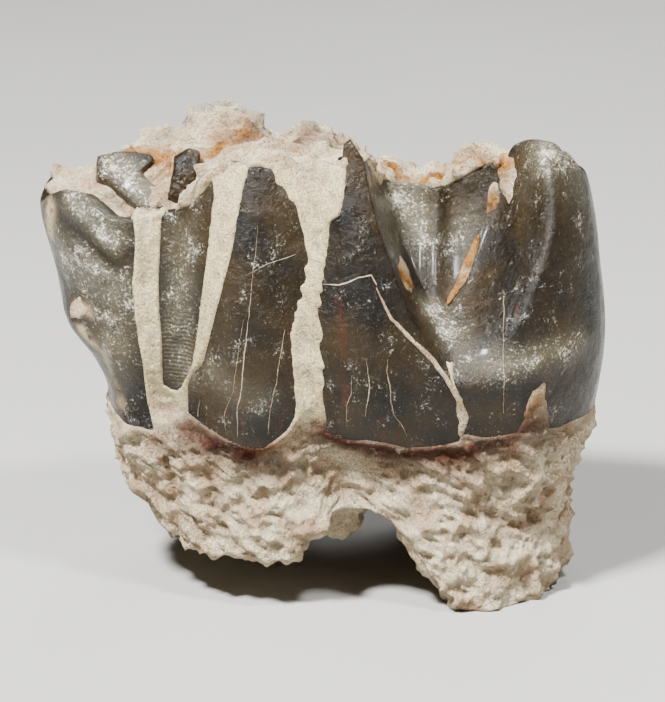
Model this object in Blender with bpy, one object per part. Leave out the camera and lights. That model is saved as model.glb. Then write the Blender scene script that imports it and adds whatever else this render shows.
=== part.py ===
"""A fossil cheek tooth of a small running rhinoceros, standing on its root stumps.

The crown is broken into dark enamel fragments. Pale stone fills the cracks between them, and the pale
roots carry the whole. The tooth is first made as one closed solid: rings carried up the sides, a
hollow between the root stumps and a broken top. The fragments are then cut out of that solid along
the cracks, and what is left is the pale body that holds them. Lengths are in millimetres, with X to
the right, Y away from the viewer and Z up, and become metres as the vertices are placed.
"""

import bmesh
import bpy
import numpy as np

MM = 0.001
GAP = 0.3  # between a fragment and the stone that it sits in
ENAMEL = 1.5  # thickness of a fragment
FAR = 16.0  # past the tooth on any side

# Limits of the tooth by height: left edge, right edge, front face and back face.
LEFT_EDGE = [(0.0, -7.6), (2.6, -8.5), (5.7, -9.9), (8.0, -10.8), (10.5, -11.2), (13.4, -12.7), (16.0, -13.2),
             (19.4, -13.9), (21.0, -13.6)]
RIGHT_EDGE = [(0.0, 12.0), (1.5, 12.5), (4.0, 12.25), (6.9, 13.1), (10.1, 13.8), (12.8, 14.05), (16.4, 13.6),
              (19.0, 13.1), (21.7, 12.1), (24.0, 10.8)]
FRONT_FACE = [(0.0, -7.4), (3.5, -7.1), (6.0, -7.0), (9.0, -7.3), (12.0, -7.8), (16.0, -7.5), (20.0, -6.7),
              (24.0, -5.6)]
BACK_FACE = [(0.0, 6.6), (3.0, 7.2), (6.0, 7.8), (9.0, 8.0), (12.0, 7.7), (16.0, 6.7), (20.0, 5.4), (24.0, 4.2)]
SIDE_DEPTH = 0.5  # Y of the left and right edges
SQUARENESS = 2.7  # exponent of a ring: 2 is an ellipse, more is boxier
HIGHEST = 24.5

# The cleft between the central cusp and the right lobe, by height: its lip, its groove and its depth.
CLEFT_LIP = [(12.3, 6.2), (13.4, 5.7), (15.4, 4.5), (18.1, 3.25), (19.8, 2.6), (21.6, 2.15), (25.0, 1.5)]
CLEFT_GROOVE = [(12.3, 7.5), (14.0, 7.2), (15.6, 7.3), (17.6, 7.8), (19.9, 8.6), (25.0, 9.4)]
CLEFT_DEPTH = [(11.8, 0.0), (12.6, 0.7), (14.0, 2.6), (16.0, 4.3), (18.0, 5.4), (20.0, 5.8), (25.0, 6.0)]
CLEFT_WALL = 0.6  # X over which the steep side under the lip drops
CLEFT_FLANK = 2.7  # X over which the right lobe's flank rises
STILL_DEPTH = 3.4  # Y behind which the front's swells and the cleft no longer show

# Swells and hollows of the front: foot (x, z), head (x, z), half-width, push towards the viewer.
FRONT_RELIEF = [
    ((-7.0, 10.5), (-7.3, 21.0), 1.7, -1.4),
    ((-3.6, 9.5), (-3.4, 22.0), 1.7, 0.7),
    ((-0.6, 9.5), (-0.4, 19.0), 1.0, -0.35),
    ((2.2, 9.5), (1.3, 23.0), 1.7, 0.7),
    ((9.6, 9.5), (10.6, 21.0), 2.2, 0.8),
    ((7.2, 12.1), (13.0, 13.4), 0.7, 0.3),
    ((-12.6, 13.9), (-9.6, 8.8), 0.5, 0.8),
    ((1.6, 3.6), (1.0, 7.6), 1.4, -0.9),
]

# Heights of the broken top, at places seen from above: x, y, z.
TOP_SPOTS = [
    (-13.2, -2.2, 20.4), (-12.4, 0.6, 20.6), (-11.2, -5.0, 20.0), (-9.0, -6.0, 19.7), (-6.9, -5.6, 20.6),
    (-5.4, -5.4, 22.4), (-9.6, -3.2, 18.4), (-7.8, -2.8, 18.2), (-10.6, 0.2, 20.6), (-9.0, 1.0, 21.0),
    (-7.2, 1.6, 22.2), (-5.2, 2.6, 23.5), (-3.8, 2.4, 23.0), (-3.2, -5.6, 22.6), (-3.4, -1.5, 22.4),
    (-1.9, 1.6, 21.2), (-0.5, 2.2, 22.4), (0.9, 1.4, 21.0), (-0.8, -4.5, 21.3), (1.4, -5.6, 23.6),
    (1.2, -2.5, 21.6), (2.9, 1.6, 20.7), (4.5, 0.2, 19.9), (5.2, 2.2, 19.6), (7.6, 2.0, 21.5), (9.0, 0.2, 21.2),
    (10.9, -4.4, 23.3), (11.2, -1.2, 22.2), (10.6, 2.8, 19.8), (6.6, 4.4, 18.8), (2.0, 4.6, 18.8),
    (-2.6, 4.8, 20.0), (-7.0, 4.8, 19.6), (-11.6, 3.2, 18.8), (12.6, -1.0, 21.0),
]
TOP_CENTRE = (2.2, 2.2)

# Root stumps: the middle of the end, its slopes' reach to the left, right, front and back, and its height.
STUMPS = [
    ((8.9, -3.6), (6.6, 8.0, 8.0, 4.8), 0.0),
    ((8.4, 4.6), (5.6, 8.0, 3.8, 8.0), 0.0),
    ((-4.8, -3.6), (8.0, 6.2, 8.0, 4.8), 2.6),
    ((-4.6, 4.5), (7.6, 5.4, 3.4, 8.0), 0.0),
]
STUMP_END = 0.36  # share of that reach that the flat end takes up
VAULT = 5.2  # height of the hollow between the stumps

# Grid of the solid: columns along the front between its knots, columns along the back, and rows.
KNOT_SHARES = (0.36, 0.41, 0.49, 0.67)  # where the cleft's lip, wall, groove and flank end fall on a ring
KNOT_LIMITS = (0.6, 0.65, 0.8, 0.93)  # and where they stop, near the right edge
FRONT_COLUMNS = (21, 1, 3, 3, 7)
BACK_COLUMNS = 17
BOTTOM_ROWS, SIDE_ROWS, TOP_ROWS = 8, 16, 8
TOP_BEVEL = 0.3
ORIGIN = (0.085, -0.155, 0.0)  # the middle of the base, where the finished part has its origin

# Outlines of the fragments as the front shows them, (x, z) points, and their Y from front to back.
HIGH = 26.0
BASE_HEIGHT = 9.6
CUSP_BACK = -4.6
FLANK_BACK = 2.4
PLATES = {
    "left_lobe": ([(-9.0, HIGH), (-9.0, 18.6), (-9.2, 16.6), (-9.0, 14.0), (-8.6, 10.2), (-8.3, 9.4), (-9.7, 9.5),
                   (-FAR, 9.3), (-FAR, HIGH)], -FAR, FLANK_BACK),
    "sliver": ([(-7.6, HIGH), (-7.75, 17.6), (-7.7, 13.0), (-7.0, 11.1), (-6.1, 14.0), (-5.6, 17.6), (-5.2, 21.5),
                (-5.3, HIGH)], -FAR, -2.0),
    "middle_lobe": ([(-3.4, HIGH), (-4.0, 19.8), (-4.7, 16.8), (-5.3, 14.4), (-6.3, 11.9), (-6.4, 9.9), (-4.6, 9.4),
                     (-3.2, 9.0), (-1.6, 9.9), (-1.3, 11.2), (-1.6, 14.4), (-1.1, 16.7), (-0.8, 18.2), (-1.2, 20.2),
                     (-2.8, 22.6), (-2.8, HIGH)], -FAR, -2.0),
    "central_cusp": ([(1.2, HIGH), (1.1, 21.4), (0.4, 20.0), (0.1, 17.5), (-0.1, 14.7), (0.1, 11.7), (0.3, 9.7),
                      (3.7, 9.3), (6.6, 9.6), (6.75, 10.2), (6.5, 11.3), (6.1, 12.6), (6.0, 14.0), (5.2, 17.0),
                      (4.5, 20.0), (3.6, HIGH)], -FAR, CUSP_BACK),
    "cleft_wall": ([(1.0, HIGH), (1.4, 19.8), (2.0, 18.1), (3.3, 15.4), (3.9, 14.4), (6.6, 14.4), (7.0, 15.6),
                    (7.5, 17.6), (8.4, 19.9), (8.7, HIGH)], CUSP_BACK + GAP, 1.9),
    "right_lobe": ([(10.4, HIGH), (10.2, 20.6), (9.2, 19.0), (8.3, 17.6), (7.5, 15.6), (7.0, 14.0), (6.5, 12.6),
                    (6.9, 11.3), (7.15, 10.2), (7.0, 9.6), (8.5, 9.9), (10.4, 11.2), (12.6, 10.6), (FAR, 9.9),
                    (FAR, HIGH)], -FAR, FLANK_BACK),
    "outer_wall": ([(-FAR, HIGH), (-FAR, 9.3), (-6.0, 8.9), (0.0, 9.5), (7.0, 9.0), (FAR, 9.9), (FAR, HIGH)],
                   FLANK_BACK + 0.35, FAR),
}
# Dark remains standing in the worn pit at the top left: outline and Y range.
REMAINS = {
    "pit_wall": ([(-11.0, HIGH), (-11.0, 18.0), (-10.2, 17.4), (-9.0, 17.4), (-8.4, 18.2), (-8.4, HIGH)], -2.2, 1.0),
    "pit_pillar": ([(-7.6, HIGH), (-7.6, 19.0), (-7.2, 18.2), (-6.4, 18.2), (-6.0, 19.0), (-6.0, HIGH)], -2.4, -0.4),
}

ENAMEL_COLOUR = (0.016, 0.012, 0.010)
STONE_COLOUR = (0.56, 0.46, 0.31)


def by_height(table, z):
    """Read a (height, value) table at the heights z."""
    heights, values = zip(*table)
    return np.interp(z, heights, values)


def smooth(value):
    """Ease from 0 to 1 as value goes from 0 to 1."""
    value = np.clip(value, 0.0, 1.0)
    return value * value * (3.0 - 2.0 * value)


def top_height(x, y):
    """Give the height of the broken top at (x, y): the nearest spots count most."""
    spots = np.array(TOP_SPOTS)
    distance = np.hypot(x[..., None] - spots[:, 0], y[..., None] - spots[:, 1])
    weight = 1.0 / (distance + 0.35) ** 3.5
    return (weight * spots[:, 2]).sum(-1) / weight.sum(-1)


def bottom_height(x, y):
    """Give the height of the underside at (x, y): the vault, or the lowest stump there."""
    height = np.full(x.shape, VAULT)
    for (middle_x, middle_y), (left, right, front, back), end in STUMPS:
        share_x = np.where(x < middle_x, (middle_x - x) / left, (x - middle_x) / right)
        share_y = np.where(y < middle_y, (middle_y - y) / front, (y - middle_y) / back)
        share = (share_x ** 3 + share_y ** 3) ** (1 / 3)
        height = np.minimum(height, VAULT + (end - VAULT) * smooth((1.0 - share) / (1.0 - STUMP_END)))
    return height


def front_push(x, z, shift):
    """Give how far the front moves away from the viewer at (x, z): the cleft less the swells.

    shift widens the cleft on both sides, for the inner faces of the fragments beside it.
    """
    lip = by_height(CLEFT_LIP, z) - shift
    groove = by_height(CLEFT_GROOVE, z) + 0.5 * shift
    inside = smooth((x - lip) / CLEFT_WALL) * (1.0 - smooth((x - groove) / CLEFT_FLANK))
    push = by_height(CLEFT_DEPTH, z) * inside
    for (foot_x, foot_z), (head_x, head_z), half_width, swell in FRONT_RELIEF:
        run = np.array([head_x - foot_x, head_z - foot_z])
        along = ((x - foot_x) * run[0] + (z - foot_z) * run[1]) / (run @ run)
        nearest = np.clip(along, 0.0, 1.0)
        off = np.hypot(x - foot_x - nearest * run[0], z - foot_z - nearest * run[1])
        push = push - swell * np.exp(-((off / half_width) ** 2))
    return push


def pushed(x, y, z, shift):
    """Carry the front's swells and its cleft into Y, fading out towards the back."""
    fade = smooth((STILL_DEPTH - y) / (STILL_DEPTH - FRONT_FACE[3][1]))
    return y + front_push(x, z, shift) * fade


def column_shares():
    """Give each column's place on a ring: -1 to 1 along the front, then 1 to -1 along the back."""
    knots = np.array([-1.0, *KNOT_SHARES, 1.0])
    turns = np.arccos(np.clip(-np.sign(knots) * np.abs(knots) ** (SQUARENESS / 2), -1.0, 1.0))
    front = np.concatenate([np.linspace(turns[i], turns[i + 1], count, endpoint=False)
                            for i, count in enumerate(FRONT_COLUMNS)])
    back = np.linspace(np.pi, 2 * np.pi, BACK_COLUMNS, endpoint=False)
    cosine = np.cos(np.concatenate([front, back]))
    return -np.sign(cosine) * np.abs(cosine) ** (2 / SQUARENESS), len(front)


def ring_point(share, is_front, z, inset):
    """Give (x, y) on the tooth's side at the height z, before the front's swells and cleft.

    A knot of the front's columns follows the cleft's lip, its wall, its groove and its flank.
    """
    left, right = by_height(LEFT_EDGE, z), by_height(RIGHT_EDGE, z)
    middle, half = (left + right) / 2, (right - left) / 2
    lip, groove = by_height(CLEFT_LIP, z) - inset, by_height(CLEFT_GROOVE, z) + 0.5 * inset
    places = [np.minimum((place - middle) / half, most) for place, most in
              zip((lip, lip + CLEFT_WALL, groove, groove + CLEFT_FLANK), KNOT_LIMITS)]
    places = [-np.ones_like(z), *places, np.ones_like(z)]
    knots = [-1.0, *KNOT_SHARES, 1.0]
    bent = places[0]
    for i in range(len(knots) - 1):
        done = np.clip((share - knots[i]) / (knots[i + 1] - knots[i]), 0.0, 1.0)
        bent = bent + done * (places[i + 1] - places[i])
    share = np.where(is_front, bent, share)
    depth = (1.0 - np.abs(share) ** SQUARENESS).clip(0.0) ** (1 / SQUARENESS)
    reach = np.where(is_front, by_height(FRONT_FACE, z) - SIDE_DEPTH + inset, by_height(BACK_FACE, z) - SIDE_DEPTH - inset)
    return middle + (half - inset) * share, SIDE_DEPTH + reach * depth


def edge_height(share, is_front, height_of, start):
    """Find the height at which each column meets the top or the underside."""
    z = np.full(share.shape, start)
    for _ in range(12):
        x, y = ring_point(share, is_front, z, 0.0)
        z = 0.5 * z + 0.5 * height_of(x, pushed(x, y, z, 0.0))
    return z


def tooth_rows(inset):
    """Give the tooth's points, row by row from the middle of the underside to the middle of the top.

    An inset above zero gives a smaller tooth that stands out above the top and stops above the vault:
    the inner face of the enamel. On the underside and the top the front's push at some x is the push
    that the edge has there, so that no two points change places.
    """
    share, front_count = column_shares()
    is_front = np.arange(len(share)) < front_count
    if inset:
        low, high = np.full_like(share, VAULT + 1.0), np.full_like(share, HIGHEST + 1.0)
    else:
        low = edge_height(share, is_front, bottom_height, 3.0)
        high = edge_height(share, is_front, top_height, 21.0) - TOP_BEVEL
    rows = []
    for edge, height_of, centre_y, parts in ((low, bottom_height, SIDE_DEPTH, np.linspace(0.0, 1.0, BOTTOM_ROWS + 1)),
                                             (high, top_height, TOP_CENTRE[1], np.linspace(1.0, 0.0, TOP_ROWS + 1))):
        edge_x, edge_y = ring_point(share, is_front, edge, inset)
        if edge is high:
            for part in np.linspace(0.0, 1.0, SIDE_ROWS + 1)[1:-1]:
                z = low + part * (high - low)
                x, y = ring_point(share, is_front, z, inset)
                rows.append((x, pushed(x, y, z, inset), z))
        for part in parts:
            x = TOP_CENTRE[0] - inset + part * (edge_x - TOP_CENTRE[0] + inset)
            y = centre_y + part * (edge_y - centre_y)
            y = pushed(x, y, np.interp(x, edge_x[:front_count], edge[:front_count]), inset)
            rows.append((x, y, edge if inset or part == 1.0 else height_of(x, y)))
    return np.array(rows).transpose(0, 2, 1)


def collection(name):
    """Make a collection in the scene."""
    made = bpy.data.collections.new(name)
    bpy.context.scene.collection.children.link(made)
    return made


def principled(name, colour, roughness):
    """Make a plain material."""
    material = bpy.data.materials.new(name)
    material.use_nodes = True
    shader = material.node_tree.nodes["Principled BSDF"]
    shader.inputs["Base Color"].default_value = (*colour, 1.0)
    shader.inputs["Roughness"].default_value = roughness
    shader.inputs["Metallic"].default_value = 0.0
    return material


def tooth_object(name, inset, home):
    """Carry the vertices of a UV sphere onto the tooth's rows, or onto its inner face."""
    points = tooth_rows(inset)
    row_count, column_count = points.shape[0] - 1, points.shape[1]
    mesh = bpy.data.meshes.new(name)
    shape = bmesh.new()
    bmesh.ops.create_uvsphere(shape, u_segments=column_count, v_segments=row_count, radius=1.0)
    for vertex in shape.verts:
        turn = np.arctan2(vertex.co.y, vertex.co.x) / (2 * np.pi)
        column = round(float(turn) * column_count) % column_count
        row = row_count - round(float(np.arccos(np.clip(vertex.co.z, -1.0, 1.0))) / np.pi * row_count)
        vertex.co = points[row, column] * MM
    bmesh.ops.triangulate(shape, faces=shape.faces)
    shape.to_mesh(mesh)
    shape.free()
    made = bpy.data.objects.new(name, mesh)
    home.objects.link(made)
    return made


def grown(outline, margin):
    """Move an outline's sides outwards by the margin."""
    points = np.array(outline)
    before = points - np.roll(points, 1, axis=0)
    after = np.roll(before, -1, axis=0)
    sides = [side / np.linalg.norm(side, axis=1, keepdims=True) for side in (before, after)]
    outward = [np.stack([side[:, 1], -side[:, 0]], axis=1) for side in sides]
    if np.sum(points[:, 0] * np.roll(points[:, 1], -1) - np.roll(points[:, 0], -1) * points[:, 1]) < 0:
        outward = [-side for side in outward]
    corner = outward[0] + outward[1]
    return points + margin * 2.0 * corner / np.maximum((corner ** 2).sum(1, keepdims=True), 1.2)


def prism(name, outline, near, far, home):
    """Extrude an (x, z) outline along Y between near and far."""
    curve = bpy.data.curves.new(name, "CURVE")
    curve.dimensions = "2D"
    curve.fill_mode = "BOTH"
    curve.extrude = (far - near) / 2 * MM
    spline = curve.splines.new("POLY")
    spline.points.add(len(outline) - 1)
    for point, (x, z) in zip(spline.points, outline):
        point.co = (x * MM, z * MM, 0.0, 1.0)
    spline.use_cyclic_u = True
    drawn = bpy.data.objects.new(name, curve)
    drawn.location = (0.0, (near + far) / 2 * MM, 0.0)
    drawn.rotation_euler = (np.pi / 2, 0.0, 0.0)
    home.objects.link(drawn)
    bpy.context.view_layer.update()
    mesh = bpy.data.meshes.new_from_object(drawn.evaluated_get(bpy.context.evaluated_depsgraph_get()))
    shape = bmesh.new()
    shape.from_mesh(mesh)
    bmesh.ops.remove_doubles(shape, verts=shape.verts, dist=1e-6)
    bmesh.ops.recalc_face_normals(shape, faces=shape.faces)
    bmesh.ops.triangulate(shape, faces=shape.faces)
    shape.to_mesh(mesh)
    shape.free()
    made = bpy.data.objects.new(name, mesh)
    made.matrix_world = drawn.matrix_world
    bpy.data.objects.remove(drawn)
    home.objects.link(made)
    return made


def cut(target, cutter, operation):
    """Give the target a Boolean modifier."""
    modifier = target.modifiers.new(operation.title(), "BOOLEAN")
    modifier.operation = operation
    modifier.object = cutter
    modifier.solver = "EXACT"


def settled(target):
    """Apply the target's modifiers and keep its largest piece."""
    bpy.context.view_layer.update()
    mesh = bpy.data.meshes.new_from_object(target.evaluated_get(bpy.context.evaluated_depsgraph_get()))
    target.modifiers.clear()
    target.data = mesh
    shape = bmesh.new()
    shape.from_mesh(mesh)
    islands = []
    left = set(shape.verts)
    while left:
        island, edge = set(), [left.pop()]
        while edge:
            vertex = edge.pop()
            island.add(vertex)
            linked = {link.other_vert(vertex) for link in vertex.link_edges}
            edge.extend(linked & left)
            left -= linked
        islands.append(island)
    largest = max(islands, key=len)
    bmesh.ops.delete(shape, geom=[vertex for vertex in shape.verts if vertex not in largest], context="VERTS")
    bmesh.ops.triangulate(shape, faces=shape.faces)
    shape.to_mesh(mesh)
    shape.free()


def finish(target, material):
    """Put the target on the part's origin, with its material, shaded smooth but for its broken edges."""
    target.location = [-value * MM for value in ORIGIN]
    target.data.materials.clear()
    target.data.materials.append(material)
    target.data.shade_smooth()
    target.data.set_sharp_from_angle(angle=np.radians(35.0))


def fragment(name, cutter, inner, home):
    """Cut one enamel fragment out of the whole tooth."""
    piece = tooth_object(name, 0.0, home)
    cut(piece, cutter, "INTERSECT")
    if inner:
        cut(piece, inner, "DIFFERENCE")
    settled(piece)
    return piece


def main():
    """Build the pale body and its fragments."""
    for old in list(bpy.data.objects):
        bpy.data.objects.remove(old)
    parts, cutters = collection("fossil_tooth"), collection("cutters")
    enamel = principled("dark_enamel", ENAMEL_COLOUR, 0.3)
    stone = principled("pale_stone", STONE_COLOUR, 0.85)
    inner = tooth_object("enamel_inside", ENAMEL, cutters)
    pocket_floor = tooth_object("pocket_floor", ENAMEL + GAP, cutters)

    pockets = []
    for name, (outline, near, far) in (PLATES | REMAINS).items():
        cutter = prism(name + "_cutter", outline, near, far, cutters)
        finish(fragment(name, cutter, inner if name in PLATES else None, parts), enamel)
        pockets.append(prism(name + "_pocket", grown(outline, GAP), near - GAP, far + GAP, cutters))

    body = tooth_object("roots_and_matrix", 0.0, parts)
    plate_pockets = pockets[0]
    for pocket in pockets[1:len(PLATES)]:
        cut(plate_pockets, pocket, "UNION")
    cut(plate_pockets, pocket_floor, "DIFFERENCE")
    for pocket in (plate_pockets, *pockets[len(PLATES):]):
        cut(body, pocket, "DIFFERENCE")
    settled(body)
    finish(body, stone)
    for guide in cutters.objects:
        guide.hide_render = True
        guide.display_type = "WIRE"


main()
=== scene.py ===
"""The looks of a fossil cheek tooth of a small running rhinoceros.

The crown is broken into dark glossy enamel fragments. Pale stone fills the cracks between them, wraps
the roots and forms the broken top. One outer form of the whole tooth is written as a surface of two
parameters, the turn round the tooth and the height. The pale body is that surface with its stone worn
rough and sunk under the fragments, and each fragment is a patch of the same surface, so that the stone
laps over the fragments' edges along every crack. Lengths are in millimetres until a mesh is made.
"""

import logging
from collections.abc import Callable
from dataclasses import dataclass
from enum import Enum

import bpy
import numpy as np
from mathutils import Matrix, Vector


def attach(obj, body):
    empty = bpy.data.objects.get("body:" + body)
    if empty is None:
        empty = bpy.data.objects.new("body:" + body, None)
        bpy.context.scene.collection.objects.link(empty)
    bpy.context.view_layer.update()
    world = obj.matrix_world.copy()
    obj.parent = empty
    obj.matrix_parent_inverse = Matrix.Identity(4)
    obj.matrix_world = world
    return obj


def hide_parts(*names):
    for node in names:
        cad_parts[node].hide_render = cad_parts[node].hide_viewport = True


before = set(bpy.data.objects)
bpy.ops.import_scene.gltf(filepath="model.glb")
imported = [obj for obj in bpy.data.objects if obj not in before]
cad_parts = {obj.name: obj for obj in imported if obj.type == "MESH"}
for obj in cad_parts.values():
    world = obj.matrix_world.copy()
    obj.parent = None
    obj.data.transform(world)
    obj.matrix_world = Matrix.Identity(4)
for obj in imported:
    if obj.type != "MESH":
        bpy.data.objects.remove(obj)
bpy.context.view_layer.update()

LOG = logging.getLogger("fossil_tooth")
MM = 0.001
ORIGIN = np.array([0.085, -0.155, 0.0])  # the part's origin in the form's own millimetres
BODY_NAME = "root"
PROBE = 0.02  # from a place to the ones beside it that give a surface's slope

Points = tuple[tuple[float, ...], ...]
Shape = tuple[np.ndarray, list]  # vertices and faces
Surface = Callable[[np.ndarray], np.ndarray]  # flat places to points
HeightMap = Callable[[np.ndarray, np.ndarray], np.ndarray]  # x and y to heights


class MaterialSlot(Enum):
    """The record's material slots."""

    STONE = "pale_stone"
    ENAMEL = "dark_enamel"


def ease(value: np.ndarray) -> np.ndarray:
    """Rise smoothly from 0 to 1 as value goes from 0 to 1.

    Args:
        value: Any numbers.

    Returns:
        3v^2 - 2v^3 of the numbers held between 0 and 1.
    """
    value = np.clip(value, 0.0, 1.0)
    return value * value * (3.0 - 2.0 * value)


@dataclass(frozen=True)
class Profile:
    """A smooth curve through (position, value) points that never overshoots them."""

    points: Points

    def __call__(self, position: np.ndarray) -> np.ndarray:
        """Read the curve.

        Args:
            position: Where to read it; beyond the ends it stays level.

        Returns:
            The value at each position, by cubic Hermite pieces with limited slopes.
        """
        knots, values = (np.array(row, float) for row in zip(*self.points))
        widths, rise = np.diff(knots), np.diff(values)
        steep = rise / widths
        inner = np.where(steep[:-1] * steep[1:] > 0, 0.5 * (steep[:-1] + steep[1:]), 0.0)
        limit = 3.0 * np.minimum(np.abs(steep[:-1]), np.abs(steep[1:]))
        inner = np.clip(inner, -limit, limit)
        slopes = np.concatenate([[0.0], inner, [0.0]])
        held = np.clip(position, knots[0], knots[-1])
        piece = np.clip(np.searchsorted(knots, held, side="right") - 1, 0, len(widths) - 1)
        share = (held - knots[piece]) / widths[piece]
        back = 1.0 - share
        ends = values[piece] * (1 + 2 * share) * back**2 + values[piece + 1] * (3 - 2 * share) * share**2
        turns = slopes[piece] * share * back**2 - slopes[piece + 1] * share**2 * back
        return ends + turns * widths[piece]


class Grain:
    """Seeded lattice noise for whole arrays of points."""

    SIDE = 64  # cells of the lattice each way, before it repeats
    SHIFT = 37.31  # keeps the tooth's middle planes off the lattice's own
    LAYER_SHIFT = 9.7  # sets each finer layer apart from the one before
    LAYER_SUM = 1.6  # about what the layers add up to

    def __init__(self, seed: int) -> None:
        """Fill the lattice.

        Args:
            seed: Picks the pattern.
        """
        self._lattice = np.random.default_rng(seed).random((self.SIDE,) * 3)

    def smooth(self, points: np.ndarray, size: float) -> np.ndarray:
        """Give soft noise.

        Args:
            points: (..., 3) places in millimetres.
            size: Width of a lump in millimetres.

        Returns:
            Numbers from -1 to 1.
        """
        place = points / size + self.SHIFT
        corner = np.floor(place).astype(int)
        share = place - corner
        share = share * share * (3.0 - 2.0 * share)
        total = np.zeros(points.shape[:-1])
        for step in np.ndindex(2, 2, 2):
            weight = np.prod(np.where(np.array(step) == 1, share, 1.0 - share), axis=-1)
            index = (corner + np.array(step)) % self.SIDE
            total += weight * self._lattice[index[..., 0], index[..., 1], index[..., 2]]
        return total * 2.0 - 1.0

    def rough(self, points: np.ndarray, size: float, octaves: int = 4) -> np.ndarray:
        """Give noise with finer and finer lumps.

        Args:
            points: (..., 3) places in millimetres.
            size: Width of the largest lump.
            octaves: How many times the lumps are halved.

        Returns:
            Numbers from about -1 to 1.
        """
        total = sum(self.smooth(points + self.LAYER_SHIFT * i, size / 2**i) / 2**i for i in range(octaves))
        return total / self.LAYER_SUM

    def ledges(self, points: np.ndarray, size: float) -> np.ndarray:
        """Give noise with sharp ridges, as broken stone has.

        Args:
            points: (..., 3) places in millimetres.
            size: Width between ridges.

        Returns:
            Numbers from 0 to 1, 1 on the ridges.
        """
        return (1.0 - np.abs(self.smooth(points, size))) ** 2


@dataclass(frozen=True)
class Stroke:
    """A raised or sunken line on the front: a bell-shaped push along a run from foot to head."""

    foot: tuple[float, float]
    head: tuple[float, float]
    half_width: float
    push: float

    def at(self, x: np.ndarray, z: np.ndarray) -> np.ndarray:
        """Give the push towards the viewer at (x, z)."""
        run = np.array(self.head) - np.array(self.foot)
        along = ((x - self.foot[0]) * run[0] + (z - self.foot[1]) * run[1]) / (run @ run)
        along = np.clip(along, 0.0, 1.0)
        off = np.hypot(x - self.foot[0] - along * run[0], z - self.foot[1] - along * run[1])
        return self.push * np.exp(-((off / self.half_width) ** 2))


@dataclass(frozen=True)
class Stump:
    """One root stump seen from above: its middle, how far its slopes reach, and its end's height."""

    middle: tuple[float, float]
    left: float
    right: float
    front: float
    back: float
    end: float
    flat_share: float = 0.36
    squareness: float = 3.0

    def height(self, x: np.ndarray, y: np.ndarray, vault: float) -> np.ndarray:
        """Give the underside's height, from the vault down to the stump's end.

        With r = (|dx / reach|^n + |dy / reach|^n)^(1/n), n the squareness, it is the end's height inside
        r = flat_share, and eases up to the vault at r = 1.
        """
        dx, dy, power = x - self.middle[0], y - self.middle[1], self.squareness
        share = (np.where(dx < 0, -dx / self.left, dx / self.right) ** power
                 + np.where(dy < 0, -dy / self.front, dy / self.back) ** power) ** (1 / power)
        return vault + (self.end - vault) * ease((1.0 - share) / (1.0 - self.flat_share))


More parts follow.
